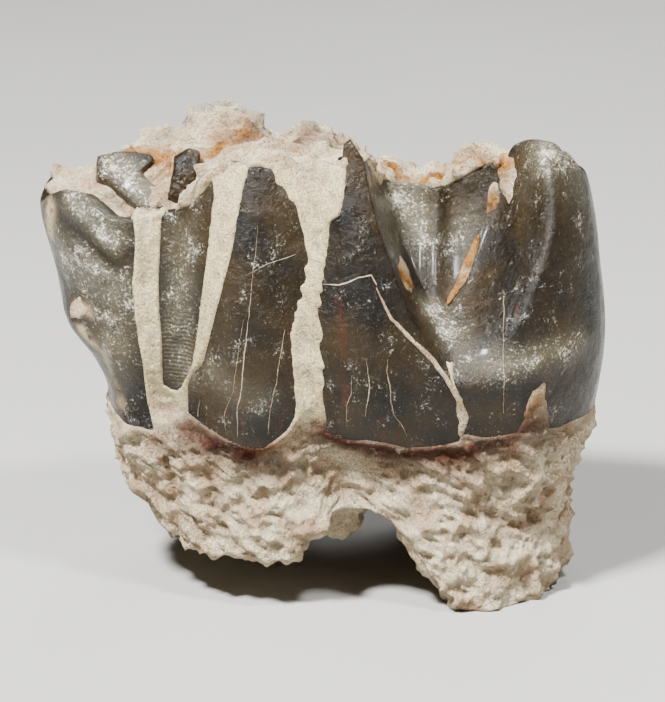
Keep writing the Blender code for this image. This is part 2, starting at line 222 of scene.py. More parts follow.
@dataclass(frozen=True)
class ToothForm:
    """The tooth's outer form.

    A ring at the height z runs from the left edge along the front to the right edge and back along the
    far side. With the turn t from 0 at the left edge to pi at the right edge, and n the squareness,
    x = middle(z) - half(z) sign(cos t) |cos t|^(2/n) and y = side -/+ reach(z) |sin t|^(2/n), less on the
    front and more on the back. The front is then pushed in y: away from the viewer in the cleft, and
    towards the viewer on the swells.
    """

    left: Profile = Profile(((0.0, -7.8), (2.0, -8.2), (3.2, -8.6), (4.5, -9.3), (5.7, -9.8),
                             (8.0, -10.6), (10.5, -10.9), (11.8, -11.5), (13.4, -12.6), (16.0, -13.2),
                             (19.4, -13.9), (21.0, -13.6)))
    right: Profile = Profile(((0.0, 12.0), (1.5, 12.5), (4.0, 12.25), (6.9, 13.1), (10.1, 13.8),
                              (12.8, 14.05), (16.4, 13.7), (19.0, 13.35), (21.0, 12.75), (21.9, 12.2),
                              (24.0, 10.8)))
    front: Profile = Profile(((0.0, -7.4), (3.5, -7.1), (6.0, -7.0), (9.0, -7.3), (12.0, -7.8),
                              (16.0, -7.5), (20.0, -6.7), (24.0, -5.6)))
    back: Profile = Profile(((0.0, 6.6), (3.0, 7.2), (6.0, 7.8), (9.0, 8.0), (12.0, 7.7), (16.0, 6.7),
                             (20.0, 5.4), (24.0, 4.2)))
    lip: Profile = Profile(((12.3, 5.4), (13.4, 5.0), (15.4, 4.2), (17.0, 3.55), (18.1, 3.2),
                            (19.8, 2.6), (21.6, 2.15), (25.0, 1.5)))
    groove: Profile = Profile(((12.3, 7.2), (13.4, 6.6), (14.2, 6.4), (15.6, 6.9), (17.6, 7.75),
                               (19.9, 8.6), (25.0, 9.2)))
    depth: Profile = Profile(((11.8, 0.0), (12.8, 0.3), (13.6, 1.0), (14.4, 2.4), (15.4, 3.7),
                              (16.5, 4.6), (18.0, 5.4), (20.0, 5.8), (25.0, 6.0)))
    wall: Profile = Profile(((12.3, 1.1), (13.4, 1.25), (14.4, 1.2), (16.0, 0.8), (18.0, 0.6)))
    flank: Profile = Profile(((14.0, 3.1), (18.0, 3.0), (20.0, 2.6), (22.0, 2.0)))
    swells: tuple[Stroke, ...] = (
        Stroke((-7.0, 10.5), (-7.3, 21.0), 1.7, -1.4),
        Stroke((-3.6, 9.5), (-3.4, 22.0), 1.7, 0.7),
        Stroke((-0.6, 9.5), (-0.4, 19.0), 1.0, -0.35),
        Stroke((2.2, 9.5), (1.3, 23.0), 1.7, 0.7),
        Stroke((9.6, 9.5), (10.6, 18.0), 3.0, 0.45),
        Stroke((7.2, 12.1), (13.0, 13.4), 0.7, 0.3),
        Stroke((-12.6, 13.9), (-9.6, 8.8), 0.5, 0.8),
        Stroke((1.6, 3.6), (1.0, 7.6), 1.4, -0.9),
        # Finer relief of the left lobe: two slanting ridges and the hollows beside them.
        Stroke((-12.6, 20.3), (-10.0, 17.8), 0.45, 0.3),
        Stroke((-12.8, 18.4), (-10.6, 16.8), 0.35, 0.22),
        Stroke((-11.6, 18.8), (-10.2, 17.4), 0.5, -0.3),
        Stroke((-11.8, 15.2), (-9.6, 13.6), 0.8, -0.45),
        Stroke((-12.0, 13.0), (-10.0, 9.6), 0.4, -0.35),
        Stroke((-10.3, 14.5), (-11.9, 14.6), 0.3, 0.3),
        Stroke((-10.2, 9.8), (-10.3, 14.2), 0.3, 0.2),
        # The fold up the sliver, and the fold down the cleft's back wall.
        Stroke((-7.0, 14.0), (-6.2, 20.6), 0.35, 0.3),
        Stroke((5.4, 15.0), (5.6, 20.4), 0.5, 0.5),
    )
    squareness: float = 2.7
    side: float = 0.5
    still_depth: float = 3.4
    full_depth: float = -7.3
    knots: tuple[float, ...] = (0.36, 0.41, 0.49, 0.67)
    knot_limits: tuple[float, ...] = (0.6, 0.65, 0.8, 0.93)

    def push(self, x: np.ndarray, y: np.ndarray, z: np.ndarray) -> np.ndarray:
        """Give how far a point of the ring moves away from the viewer."""
        inside = ease((x - self.lip(z)) / self.wall(z)) * (1.0 - ease((x - self.groove(z)) / self.flank(z)))
        away = self.depth(z) * inside - sum(stroke.at(x, z) for stroke in self.swells)
        return away * ease((self.still_depth - y) / (self.still_depth - self.full_depth))

    def ring(self, share: np.ndarray, is_front: np.ndarray, z: np.ndarray) -> tuple[np.ndarray, np.ndarray]:
        """Give the ring's (x, y) before the push.

        Args:
            share: -1 at the left edge to 1 at the right edge.
            is_front: Whether each point is on the front half.
            z: Heights.

        Returns:
            The x and the y of the points.
        """
        left, right = self.left(z), self.right(z)
        depth = (1.0 - np.abs(share) ** self.squareness).clip(0.0) ** (1 / self.squareness)
        reach = np.where(is_front, self.front(z), self.back(z)) - self.side
        return (left + right) / 2 + (right - left) / 2 * share, self.side + reach * depth

    def bent(self, share: np.ndarray, z: np.ndarray) -> np.ndarray:
        """Bend the front's columns so that four of them follow the cleft's lip, wall, groove and flank."""
        left, right = self.left(z), self.right(z)
        middle, half = (left + right) / 2, (right - left) / 2
        lip, groove = self.lip(z), self.groove(z)
        places = [np.minimum((place - middle) / half, most) for place, most in
                  zip((lip, lip + self.wall(z), groove, groove + self.flank(z)), self.knot_limits)]
        places = [-np.ones_like(z), *places, np.ones_like(z)]
        knots = [-1.0, *self.knots, 1.0]
        result = places[0]
        for i in range(len(knots) - 1):
            done = np.clip((share - knots[i]) / (knots[i + 1] - knots[i]), 0.0, 1.0)
            result = result + done * (places[i + 1] - places[i])
        return result

    def share(self, turn: np.ndarray) -> np.ndarray:
        """Turn a turn into a place from -1, the left edge, to 1, the right edge."""
        return -np.sign(np.cos(turn)) * np.abs(np.cos(turn)) ** (2 / self.squareness)

    def half_turn(self, share: np.ndarray) -> np.ndarray:
        """Turn a place from -1, the left edge, to 1, the right edge, into a turn along the front."""
        return np.arccos(np.clip(-np.sign(share) * np.abs(share) ** (self.squareness / 2), -1.0, 1.0))

    def at(self, turn: np.ndarray, z: np.ndarray) -> np.ndarray:
        """Give the outer form's points at turns and heights, with the push."""
        x, y = self.ring(self.share(turn), np.sin(turn) >= 0, z)
        return np.stack([x, y + self.push(x, y, z), z], axis=-1)

    def turn_at(self, x: np.ndarray, z: np.ndarray) -> np.ndarray:
        """Give the turn of a place seen from the front.

        Args:
            x: Its x; past the left or right edge, the millimetres past it count backwards round the side.
            z: Its height.

        Returns:
            The turn, below 0 or above pi on the far side.
        """
        left, right = self.left(z), self.right(z)
        share = np.clip((2 * x - left - right) / (right - left), -1.0, 1.0)
        turn = self.half_turn(share)
        past = np.maximum(left - x, x - right).clip(0.0)
        behind = np.arcsin(np.clip(past / (self.back(z) - self.side), 0.0, 1.0) ** (self.squareness / 2))
        return np.where(x < left, -behind, np.where(x > right, np.pi + behind, turn))


class Unrolled:
    """The tooth's side laid flat: a turn becomes millimetres round the ring at one height."""

    def __init__(self, form: ToothForm, height: float = 15.0, samples: int = 7200) -> None:
        """Measure once round.

        Args:
            form: The tooth's outer form.
            height: The ring that is measured.
            samples: How many steps it is measured in.
        """
        self._turns = np.linspace(0.0, 2 * np.pi, samples + 1)
        x, y = form.ring(form.share(self._turns), np.sin(self._turns) >= 0, np.full(samples + 1, height))
        self._lengths = np.concatenate([[0.0], np.cumsum(np.hypot(np.diff(x), np.diff(y)))])
        self.round = self._lengths[-1]

    def across(self, turn: np.ndarray) -> np.ndarray:
        """Turn a turn into millimetres."""
        laps = np.floor(turn / (2 * np.pi))
        return laps * self.round + np.interp(turn - laps * 2 * np.pi, self._turns, self._lengths)

    def turn(self, across: np.ndarray) -> np.ndarray:
        """Turn millimetres back into a turn."""
        laps = np.floor(across / self.round)
        return laps * 2 * np.pi + np.interp(across - laps * self.round, self._lengths, self._turns)


FORM = ToothForm()
FLAT = Unrolled(FORM)


def spread(spots: Points, x: np.ndarray, y: np.ndarray, soft: float = 0.35, power: float = 3.5) -> np.ndarray:
    """Average the heights of (x, y, height) spots, each weighed by 1 / (distance + soft)^power."""
    table = np.array(spots)
    distance = np.hypot(x[..., None] - table[:, 0], y[..., None] - table[:, 1])
    weight = 1.0 / (distance + soft) ** power
    return (weight * table[:, 2]).sum(-1) / weight.sum(-1)


def travelled(points: np.ndarray, axis: int = 0) -> np.ndarray:
    """Give how far along an axis of a grid each point lies from the first one, adding up the steps."""
    steps = np.linalg.norm(np.diff(points, axis=axis), axis=-1)
    start = np.zeros_like(np.take(steps, [0], axis=axis))
    return np.concatenate([start, np.cumsum(steps, axis=axis)], axis=axis)


def along(points: Points, share: np.ndarray) -> np.ndarray:
    """Walk a polyline.

    Args:
        points: The polyline's corners.
        share: Shares of its length, 0 to 1.

    Returns:
        The places at those shares.
    """
    corners = np.array(points, float)
    lengths = travelled(corners)
    return np.stack([np.interp(share * lengths[-1], lengths, column) for column in corners.T], -1)


def softened(line: np.ndarray, passes: int) -> np.ndarray:
    """Round a sampled line's corners, keeping its ends."""
    for _ in range(passes):
        line = np.concatenate([line[:1], 0.25 * line[:-2] + 0.5 * line[1:-1] + 0.25 * line[2:], line[-1:]])
    return line


def unit(vectors: np.ndarray) -> np.ndarray:
    """Make vectors one long."""
    return vectors / np.maximum(np.linalg.norm(vectors, axis=-1, keepdims=True), 1e-9)


def normals_of(grid: np.ndarray, closed: bool) -> np.ndarray:
    """Give the unit normals of a grid of points.

    Args:
        grid: (rows, columns, 3) points, columns running left to right seen from outside, rows upwards.
        closed: Whether the last column meets the first.

    Returns:
        Outward normals, the cross product of the columns' and the rows' directions.
    """
    if closed:
        across = np.roll(grid, -1, axis=1) - np.roll(grid, 1, axis=1)
    else:
        across = np.gradient(grid, axis=1)
    return unit(np.cross(across, np.gradient(grid, axis=0)))


def normals_at(place: Surface, flat: np.ndarray, points: np.ndarray) -> np.ndarray:
    """Give a surface's unit normals at flat places and their points, from places a probe away."""
    return unit(np.cross(place(flat + [PROBE, 0.0]) - points, place(flat + [0.0, PROBE]) - points))


def mesh_object(name: str, points: np.ndarray, faces: list | np.ndarray, material: bpy.types.Material,
                node: str) -> bpy.types.Object:
    """Make a piece of the tooth.

    Args:
        name: The piece's name.
        points: (n, 3) vertices in the form's millimetres.
        faces: Vertex numbers of each face.
        material: Its material.
        node: The CAD node that it stands for.

    Returns:
        The smooth-shaded object, riding on the part's body.
    """
    mesh = bpy.data.meshes.new(name)
    mesh.from_pydata(((points - ORIGIN) * MM).tolist(), [], [list(map(int, face)) for face in faces])
    mesh.materials.append(material)
    mesh.shade_smooth()
    mesh.update()
    piece = bpy.data.objects.new(name, mesh)
    bpy.context.scene.collection.objects.link(piece)
    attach(piece, BODY_NAME)
    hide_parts(node)
    return piece


def paint(piece: bpy.types.Object, name: str, values: np.ndarray) -> None:
    """Store one number a vertex for the material to read."""
    attribute = piece.data.attributes.new(name, "FLOAT", "POINT")
    attribute.data.foreach_set("value", values.astype(np.float32).ravel())


def spaced(count: int, crowding: float) -> np.ndarray:
    """Give shares from 0 to 1 that crowd towards both ends."""
    share = np.linspace(0.0, 1.0, count)
    low = 0.5 * (2 * share) ** crowding
    high = 1.0 - 0.5 * (2 - 2 * share) ** crowding
    return np.where(share < 0.5, low, high)


def distance_outside(places: np.ndarray, outline: np.ndarray, most: float) -> np.ndarray:
    """Give how far places lie outside a closed outline.

    Args:
        places: (n, 2) places.
        outline: (m, 2) corners.
        most: Distances past this aren't measured.

    Returns:
        Millimetres, below zero inside.
    """
    result = np.full(len(places), most)
    near = np.all((places > outline.min(0) - most) & (places < outline.max(0) + most), axis=1)
    start, run = outline, np.roll(outline, -1, axis=0) - outline
    kept = places[near]
    closest, crossings = np.full(len(kept), np.inf), np.zeros(len(kept), int)
    for corner, side in zip(start, run):
        offset = kept - corner
        share = np.clip(offset @ side / max(side @ side, 1e-12), 0.0, 1.0)
        closest = np.minimum(closest, np.hypot(*(offset - share[:, None] * side).T))
        straddles = (offset[:, 1] >= 0) != (offset[:, 1] >= side[1])
        if side[1]:
            crossings += straddles & (offset[:, 0] < offset[:, 1] * side[0] / side[1])
    result[near] = np.minimum(np.where(crossings % 2 == 1, -closest, closest), most)
    return result


def skin(outline: np.ndarray, place: Surface, height: float, depth: float, seed: int, roughness: float = 0.25,
         rings: int = 12, sides: int = 84, ragged: float = 0.0) -> Shape:
    """Make a thin closed skin inside an outline.

    Its upper face stands over the surface by height (1 - r^4), r going from 0 in the middle to 1 at the
    outline, and its lower face lies the depth under the surface.

    Args:
        outline: (n, 2) corners, anticlockwise seen from outside.
        place: Turns (m, 2) places into (m, 3) points of the surface.
        height: How far it stands proud.
        depth: How deep it is set.
        seed: Picks its lumps.
        roughness: Size of the lumps, as a share of the height.
        rings: Rings between the middle and the outline.
        sides: Corners of each ring.
        ragged: How far the outline wanders, as a share of its distance from the middle.

    Returns:
        Its vertices and faces.
    """
    bay, lump, tuck = 0.6, 0.5, 0.04  # widths of the outline's bays and of the lumps; how deep the rim dips
    closed = np.concatenate([outline, outline[:1]])
    edge = softened(along(closed, np.linspace(0.0, 1.0, sides + 1)), 2)[:-1]
    middle = edge.mean(0)
    edge = middle + (edge - middle) * (1.0 + ragged * Grain(seed).rough(place(edge), bay, 3)[:, None])
    share = np.linspace(0.0, 1.0, rings + 1)[1:, None, None]
    flat = (middle + share * (edge - middle)).reshape(-1, 2)
    flat = np.concatenate([middle[None], flat])
    base = place(flat)
    normal = normals_at(place, flat, base)
    reach = np.concatenate([[0.0], np.repeat(share.ravel(), sides)])
    lumps = 1.0 + roughness * Grain(seed).rough(base, lump, 3)
    upper = base + normal * (height * (1.0 - reach**4) * lumps - tuck * reach**4)[:, None]
    lower = base - normal * depth
    count = len(base)
    ring = np.arange(sides)
    after = (ring + 1) % sides
    faces = [(0, 1 + a, 1 + b) for a, b in zip(ring, after)]
    for i in range(rings - 1):
        inner, outer = 1 + i * sides, 1 + (i + 1) * sides
        faces += [(inner + a, outer + a, outer + b, inner + b) for a, b in zip(ring, after)]
    last = 1 + (rings - 1) * sides
    walls = [(last + a, last + a + count, last + b + count, last + b) for a, b in zip(ring, after)]
    faces = faces + [tuple(number + count for number in face[::-1]) for face in faces] + walls
    return np.concatenate([upper, lower]), faces


def on_form(flat: np.ndarray) -> np.ndarray:
    """Put unrolled places on the outer form."""
    return FORM.at(FLAT.turn(flat[:, 0]), flat[:, 1])


def flattened(line: np.ndarray) -> np.ndarray:
    """Turn (x, z) places seen from the front into unrolled ones."""
    return np.stack([FLAT.across(FORM.turn_at(line[:, 0], line[:, 1])), line[:, 1]], -1)


@dataclass(frozen=True)
class Plate:
    """One enamel fragment, a patch of the form between four lines.

    The lines are (x, z) points as the front shows them; an x past the tooth's edge counts backwards round
    the side. Left and right run upwards, base and crest run from left to right. The patch is the bilinear
    blend of the four lines (a Coons patch), grown under the stone by the hidden margins.
    """

    name: str
    left: Points
    right: Points
    base: Points
    crest: Points
    hidden: tuple[float, float, float, float] = (0.35, 0.35, 0.35, 0.0)  # left, right, base, crest
    has_free_crest: bool = True
    thickness: float = 1.2
    thickest: float = 0.4  # as a share of a row's width
    thinnest: float = 0.2
    edge: float = 0.14  # radius of the rounded rim
    crest_edge: float = 0.3
    columns: int = 110
    rows: int = 190
    wear: float = 0.035  # depth of the worn swells
    worn_size: float = 2.4
    chip_depth: float = 0.1
    chip_size: float = 0.8
    chip_reach: float = 0.5  # how far down from the crest
    seed: int = 3

    def flat_line(self, points: Points, count: int, passes: int) -> np.ndarray:
        """Sample a line evenly, in unrolled millimetres."""
        line = softened(along(points, np.linspace(0.0, 1.0, 400)), passes)
        return along(flattened(line), np.linspace(0.0, 1.0, count))

    def patch(self) -> np.ndarray:
        """Blend the four lines into a grid of unrolled places, rows upwards."""
        left, right = self.flat_line(self.left, self.rows, 40), self.flat_line(self.right, self.rows, 40)
        fine = 3 * self.columns
        base, crest = self.flat_line(self.base, fine, 20), self.flat_line(self.crest, fine, 20)
        s = np.linspace(0.0, 1.0, fine)[None, :, None]
        t = spaced(self.rows, 1.1)[:, None, None]
        left, right = (along(line, t.ravel()) for line in (left, right))
        sides = (1 - s) * left[:, None] + s * right[:, None]
        ends = (1 - t) * base[None] + t * crest[None]
        corners = (1 - s) * ((1 - t) * left[0] + t * left[-1]) + s * ((1 - t) * right[0] + t * right[-1])
        more_left, more_right, more_base, more_crest = self.hidden
        grown_x = s * more_right - (1 - s) * more_left + 0.0 * t
        grown_z = t * more_crest - (1 - t) * more_base + 0.0 * s
        return self._evened(sides + ends - corners + np.concatenate([grown_x, grown_z], axis=2))

    def _evened(self, flat: np.ndarray) -> np.ndarray:
        """Space each row's places evenly over the form, so that a steep side gets its share of them."""
        lengths = travelled(on_form(flat.reshape(-1, 2)).reshape(*flat.shape[:2], 3), axis=1)
        shares = spaced(self.columns, 1.15)
        return np.stack([np.stack([np.interp(shares * length[-1], length, row[:, i]) for i in range(2)], -1)
                         for length, row in zip(lengths, flat)])

    def window(self) -> np.ndarray:
        """Give the outline that shows, in unrolled millimetres; a free crest is left open upwards."""
        left, right = self.flat_line(self.left, 60, 6), self.flat_line(self.right, 60, 6)
        base, crest = self.flat_line(self.base, 60, 4), self.flat_line(self.crest, 60, 4)
        if self.has_free_crest:
            crest = crest + np.array([0.0, 4.0])
        return np.concatenate([base, right, crest[::-1], left[::-1]])

    def make(self, material: bpy.types.Material) -> bpy.types.Object:
        """Build the fragment: its outer face with rounded edges, its rim and its hidden inner face."""
        outer = on_form(self.patch().reshape(-1, 2)).reshape(self.rows, self.columns, 3)
        normal = normals_of(outer, closed=False)
        width, height = travelled(outer, axis=1), travelled(outer, axis=0)
        to_crest = height[-1:] - height
        from_rim = np.minimum(np.minimum(width, width[:, -1:] - width), height)
        drop = self._rounded(from_rim, self.edge) + self._rounded(to_crest, self.crest_edge)
        grain = Grain(self.seed)
        chipped = ease((grain.smooth(outer, self.chip_size) - 0.35) * 4.0)
        chips = self.chip_depth * chipped * np.exp(-to_crest / self.chip_reach)
        outer = outer + normal * (self.wear * grain.rough(outer, self.worn_size, 3) - chips - drop)[..., None]
        thick = np.minimum(self.thickness, self.thickest * width[:, -1:])
        inner = outer - normal * np.maximum(thick - drop, self.thinnest)[..., None]
        return self._closed(outer, inner, material)

    @staticmethod
    def _rounded(distance: np.ndarray, radius: float) -> np.ndarray:
        """Give the drop of a quarter-round edge at a distance from it: r - sqrt(r^2 - (r - d)^2)."""
        past = np.clip(radius - distance, 0.0, radius)
        return radius - np.sqrt(radius**2 - past**2)

    def _closed(self, outer: np.ndarray, inner: np.ndarray, material: bpy.types.Material) -> bpy.types.Object:
        """Join the outer and the inner face along their rims and make the object."""
        rows, columns = outer.shape[:2]
        number = np.arange(rows * columns).reshape(rows, columns)
        corners = (number[:-1, :-1], number[:-1, 1:], number[1:, 1:], number[1:, :-1])
        front = np.stack(corners, -1).reshape(-1, 4)
        hidden = rows * columns
        rim = np.concatenate([number[0, :-1], number[:-1, -1], number[-1, :0:-1], number[:0:-1, 0]])
        after = np.roll(rim, -1)
        band = np.stack([rim, rim + hidden, after + hidden, after], -1)
        points = np.concatenate([outer.reshape(-1, 3), inner.reshape(-1, 3)])
        faces = np.concatenate([front, front[:, ::-1] + hidden, band])
        return mesh_object("enamel_" + self.name, points, faces, material, self.name)


@dataclass(frozen=True)
class OuterWall(Plate):
    """The far side's enamel, whose lines are (degrees of turn, z): 180 is the right edge, 360 the left."""

    def flat_line(self, points: Points, count: int, passes: int) -> np.ndarray:
        """Sample a line evenly, in unrolled millimetres."""
        line = softened(along(points, np.linspace(0.0, 1.0, 400)), passes)
        flat = np.stack([FLAT.across(np.radians(line[:, 0])), line[:, 1]], -1)
        return along(flat, np.linspace(0.0, 1.0, count))


PLATES = (
    Plate("left_lobe",
          left=((-12.9, 9.4), (-13.7, 11.5), (-14.6, 13.4), (-15.1, 16.0), (-15.8, 19.4), (-15.6, 20.0)),
          right=((-8.3, 8.9), (-8.6, 10.2), (-8.7, 11.5), (-8.8, 12.8), (-9.0, 14.0), (-9.1, 15.6),
                 (-9.2, 16.6), (-9.1, 17.3), (-9.0, 18.6), (-9.1, 19.9)),
          base=((-12.9, 9.4), (-11.0, 9.35), (-10.2, 9.2), (-9.2, 9.0), (-8.3, 8.9)),
          crest=((-15.6, 20.0), (-14.4, 19.5), (-13.8, 19.5), (-13.3, 20.2), (-12.6, 20.7),
                 (-12.0, 20.7), (-11.3, 20.4), (-10.4, 19.8), (-9.6, 19.75), (-9.1, 19.8)),
          seed=11),
    Plate("sliver",
          left=((-7.7, 11.3), (-7.7, 12.3), (-7.7, 13.3), (-7.8, 15.1), (-7.8, 16.6), (-7.7, 18.6),
                (-7.6, 19.9)),
          right=((-6.9, 11.2), (-6.6, 11.9), (-6.3, 12.8), (-6.1, 14.0), (-5.9, 15.6), (-5.7, 17.1),
                 (-5.5, 18.6), (-5.3, 20.3), (-5.2, 21.3), (-5.3, 21.9)),
          base=((-7.7, 11.3), (-7.4, 11.05), (-7.1, 11.0), (-6.9, 11.2)),
          crest=((-7.6, 19.8), (-7.0, 19.9), (-6.4, 20.3), (-5.9, 21.0), (-5.5, 21.7), (-5.3, 21.8)),
          hidden=(0.35, 0.35, 0.35, 0.1), has_free_crest=False, columns=70, seed=12),
    Plate("middle_lobe",
          left=((-6.5, 9.9), (-6.5, 11.3), (-6.3, 11.9), (-5.8, 12.6), (-5.3, 14.4), (-5.1, 15.3),
                (-4.7, 16.8), (-4.3, 18.3), (-4.0, 19.8), (-3.7, 21.3), (-3.4, 22.6)),
          right=((-1.4, 10.4), (-1.35, 11.0), (-1.4, 11.9), (-1.5, 13.4), (-1.6, 14.6), (-1.4, 15.5),
                 (-1.1, 16.7), (-0.8, 17.9), (-0.8, 18.4), (-0.9, 19.2), (-1.2, 20.2), (-1.4, 20.7),
                 (-1.9, 21.3), (-2.4, 22.0), (-2.7, 22.6)),
          base=((-6.5, 9.9), (-5.6, 9.55), (-4.4, 9.2), (-3.4, 8.95), (-2.9, 8.9), (-2.3, 9.3),
                (-1.7, 9.8), (-1.4, 10.4)),
          crest=((-3.4, 22.5), (-3.1, 22.55), (-2.7, 22.45)),
          hidden=(0.35, 0.35, 0.35, 0.1), has_free_crest=False, seed=13),
    Plate("central_cusp",
          left=((0.3, 9.6), (0.3, 10.4), (0.1, 11.7), (0.1, 13.4), (-0.1, 14.7), (-0.1, 16.0),
                (0.1, 17.5), (0.3, 18.7), (0.4, 20.0), (0.9, 20.3), (1.1, 21.4), (1.2, 22.6),
                (1.3, 23.6)),
          right=((6.55, 9.1), (6.7, 10.2), (6.5, 11.3), (6.1, 12.3), (5.85, 13.2), (5.5, 14.0),
                 (4.65, 15.6), (3.65, 18.0), (2.95, 20.0), (2.5, 21.2), (2.0, 22.6)),
          base=((0.3, 9.6), (1.25, 9.3), (2.05, 9.45), (3.0, 9.3), (4.05, 8.9), (5.35, 8.85),
                (6.55, 9.1)),
          crest=((1.3, 23.6), (1.55, 23.85), (2.0, 22.6)),
          hidden=(0.35, 0.15, 0.35, 0.0), crest_edge=0.25, columns=150, seed=14),
    Plate("cleft_wall",
          left=((5.85, 13.2), (5.5, 14.0), (4.65, 15.6), (3.65, 18.0), (2.95, 20.0), (2.85, 20.4)),
          right=((6.3, 13.2), (6.35, 14.2), (6.85, 15.6), (7.65, 17.6), (8.5, 19.9), (8.7, 20.6)),
          base=((5.85, 13.2), (6.1, 13.1), (6.3, 13.2)),
          crest=((2.85, 20.4), (3.8, 20.2), (5.3, 20.0), (6.2, 20.05), (7.2, 20.5), (8.2, 21.0),
                 (8.7, 20.6)),
          hidden=(0.15, 0.15, 0.1, 0.1), has_free_crest=False, crest_edge=0.15, seed=15),
    Plate("right_lobe",
          left=((6.75, 9.5), (6.9, 10.2), (6.7, 11.3), (6.3, 12.3), (6.3, 13.2), (6.35, 14.2),
                (6.85, 15.6), (7.65, 17.6), (8.6, 19.9), (9.1, 21.3), (9.4, 22.2)),
          right=((15.7, 8.9), (15.95, 12.8), (15.5, 16.4), (15.0, 18.8), (14.7, 19.6)),
          base=((6.75, 9.5), (7.9, 9.3), (9.0, 9.4), (10.4, 9.4), (11.5, 9.2), (12.1, 9.3), (13.1, 9.1),
                (14.2, 8.8), (15.7, 8.9)),
          crest=((9.4, 22.2), (9.8, 22.5), (10.5, 22.7), (11.2, 22.6), (11.9, 22.2), (12.6, 21.2),
                 (13.6, 20.2), (14.7, 19.6)),
          hidden=(0.15, 0.35, 0.35, 0.0), thickness=1.6, crest_edge=0.9, columns=170, seed=16),
    OuterWall("outer_wall",
              left=((193.0, 9.8), (193.0, 15.0), (193.0, 20.0)),
              right=((347.0, 9.3), (347.0, 15.0), (347.0, 19.6)),
              base=((193.0, 9.8), (215.0, 9.1), (245.0, 9.5), (270.0, 9.0), (300.0, 8.8), (330.0, 9.4),
                    (347.0, 9.3)),
              crest=((193.0, 20.0), (215.0, 19.5), (240.0, 18.9), (265.0, 19.3), (285.0, 20.0),
                     (310.0, 19.4), (330.0, 18.8), (347.0, 19.6)),
              crest_edge=0.5, columns=190, rows=140, seed=17),
)


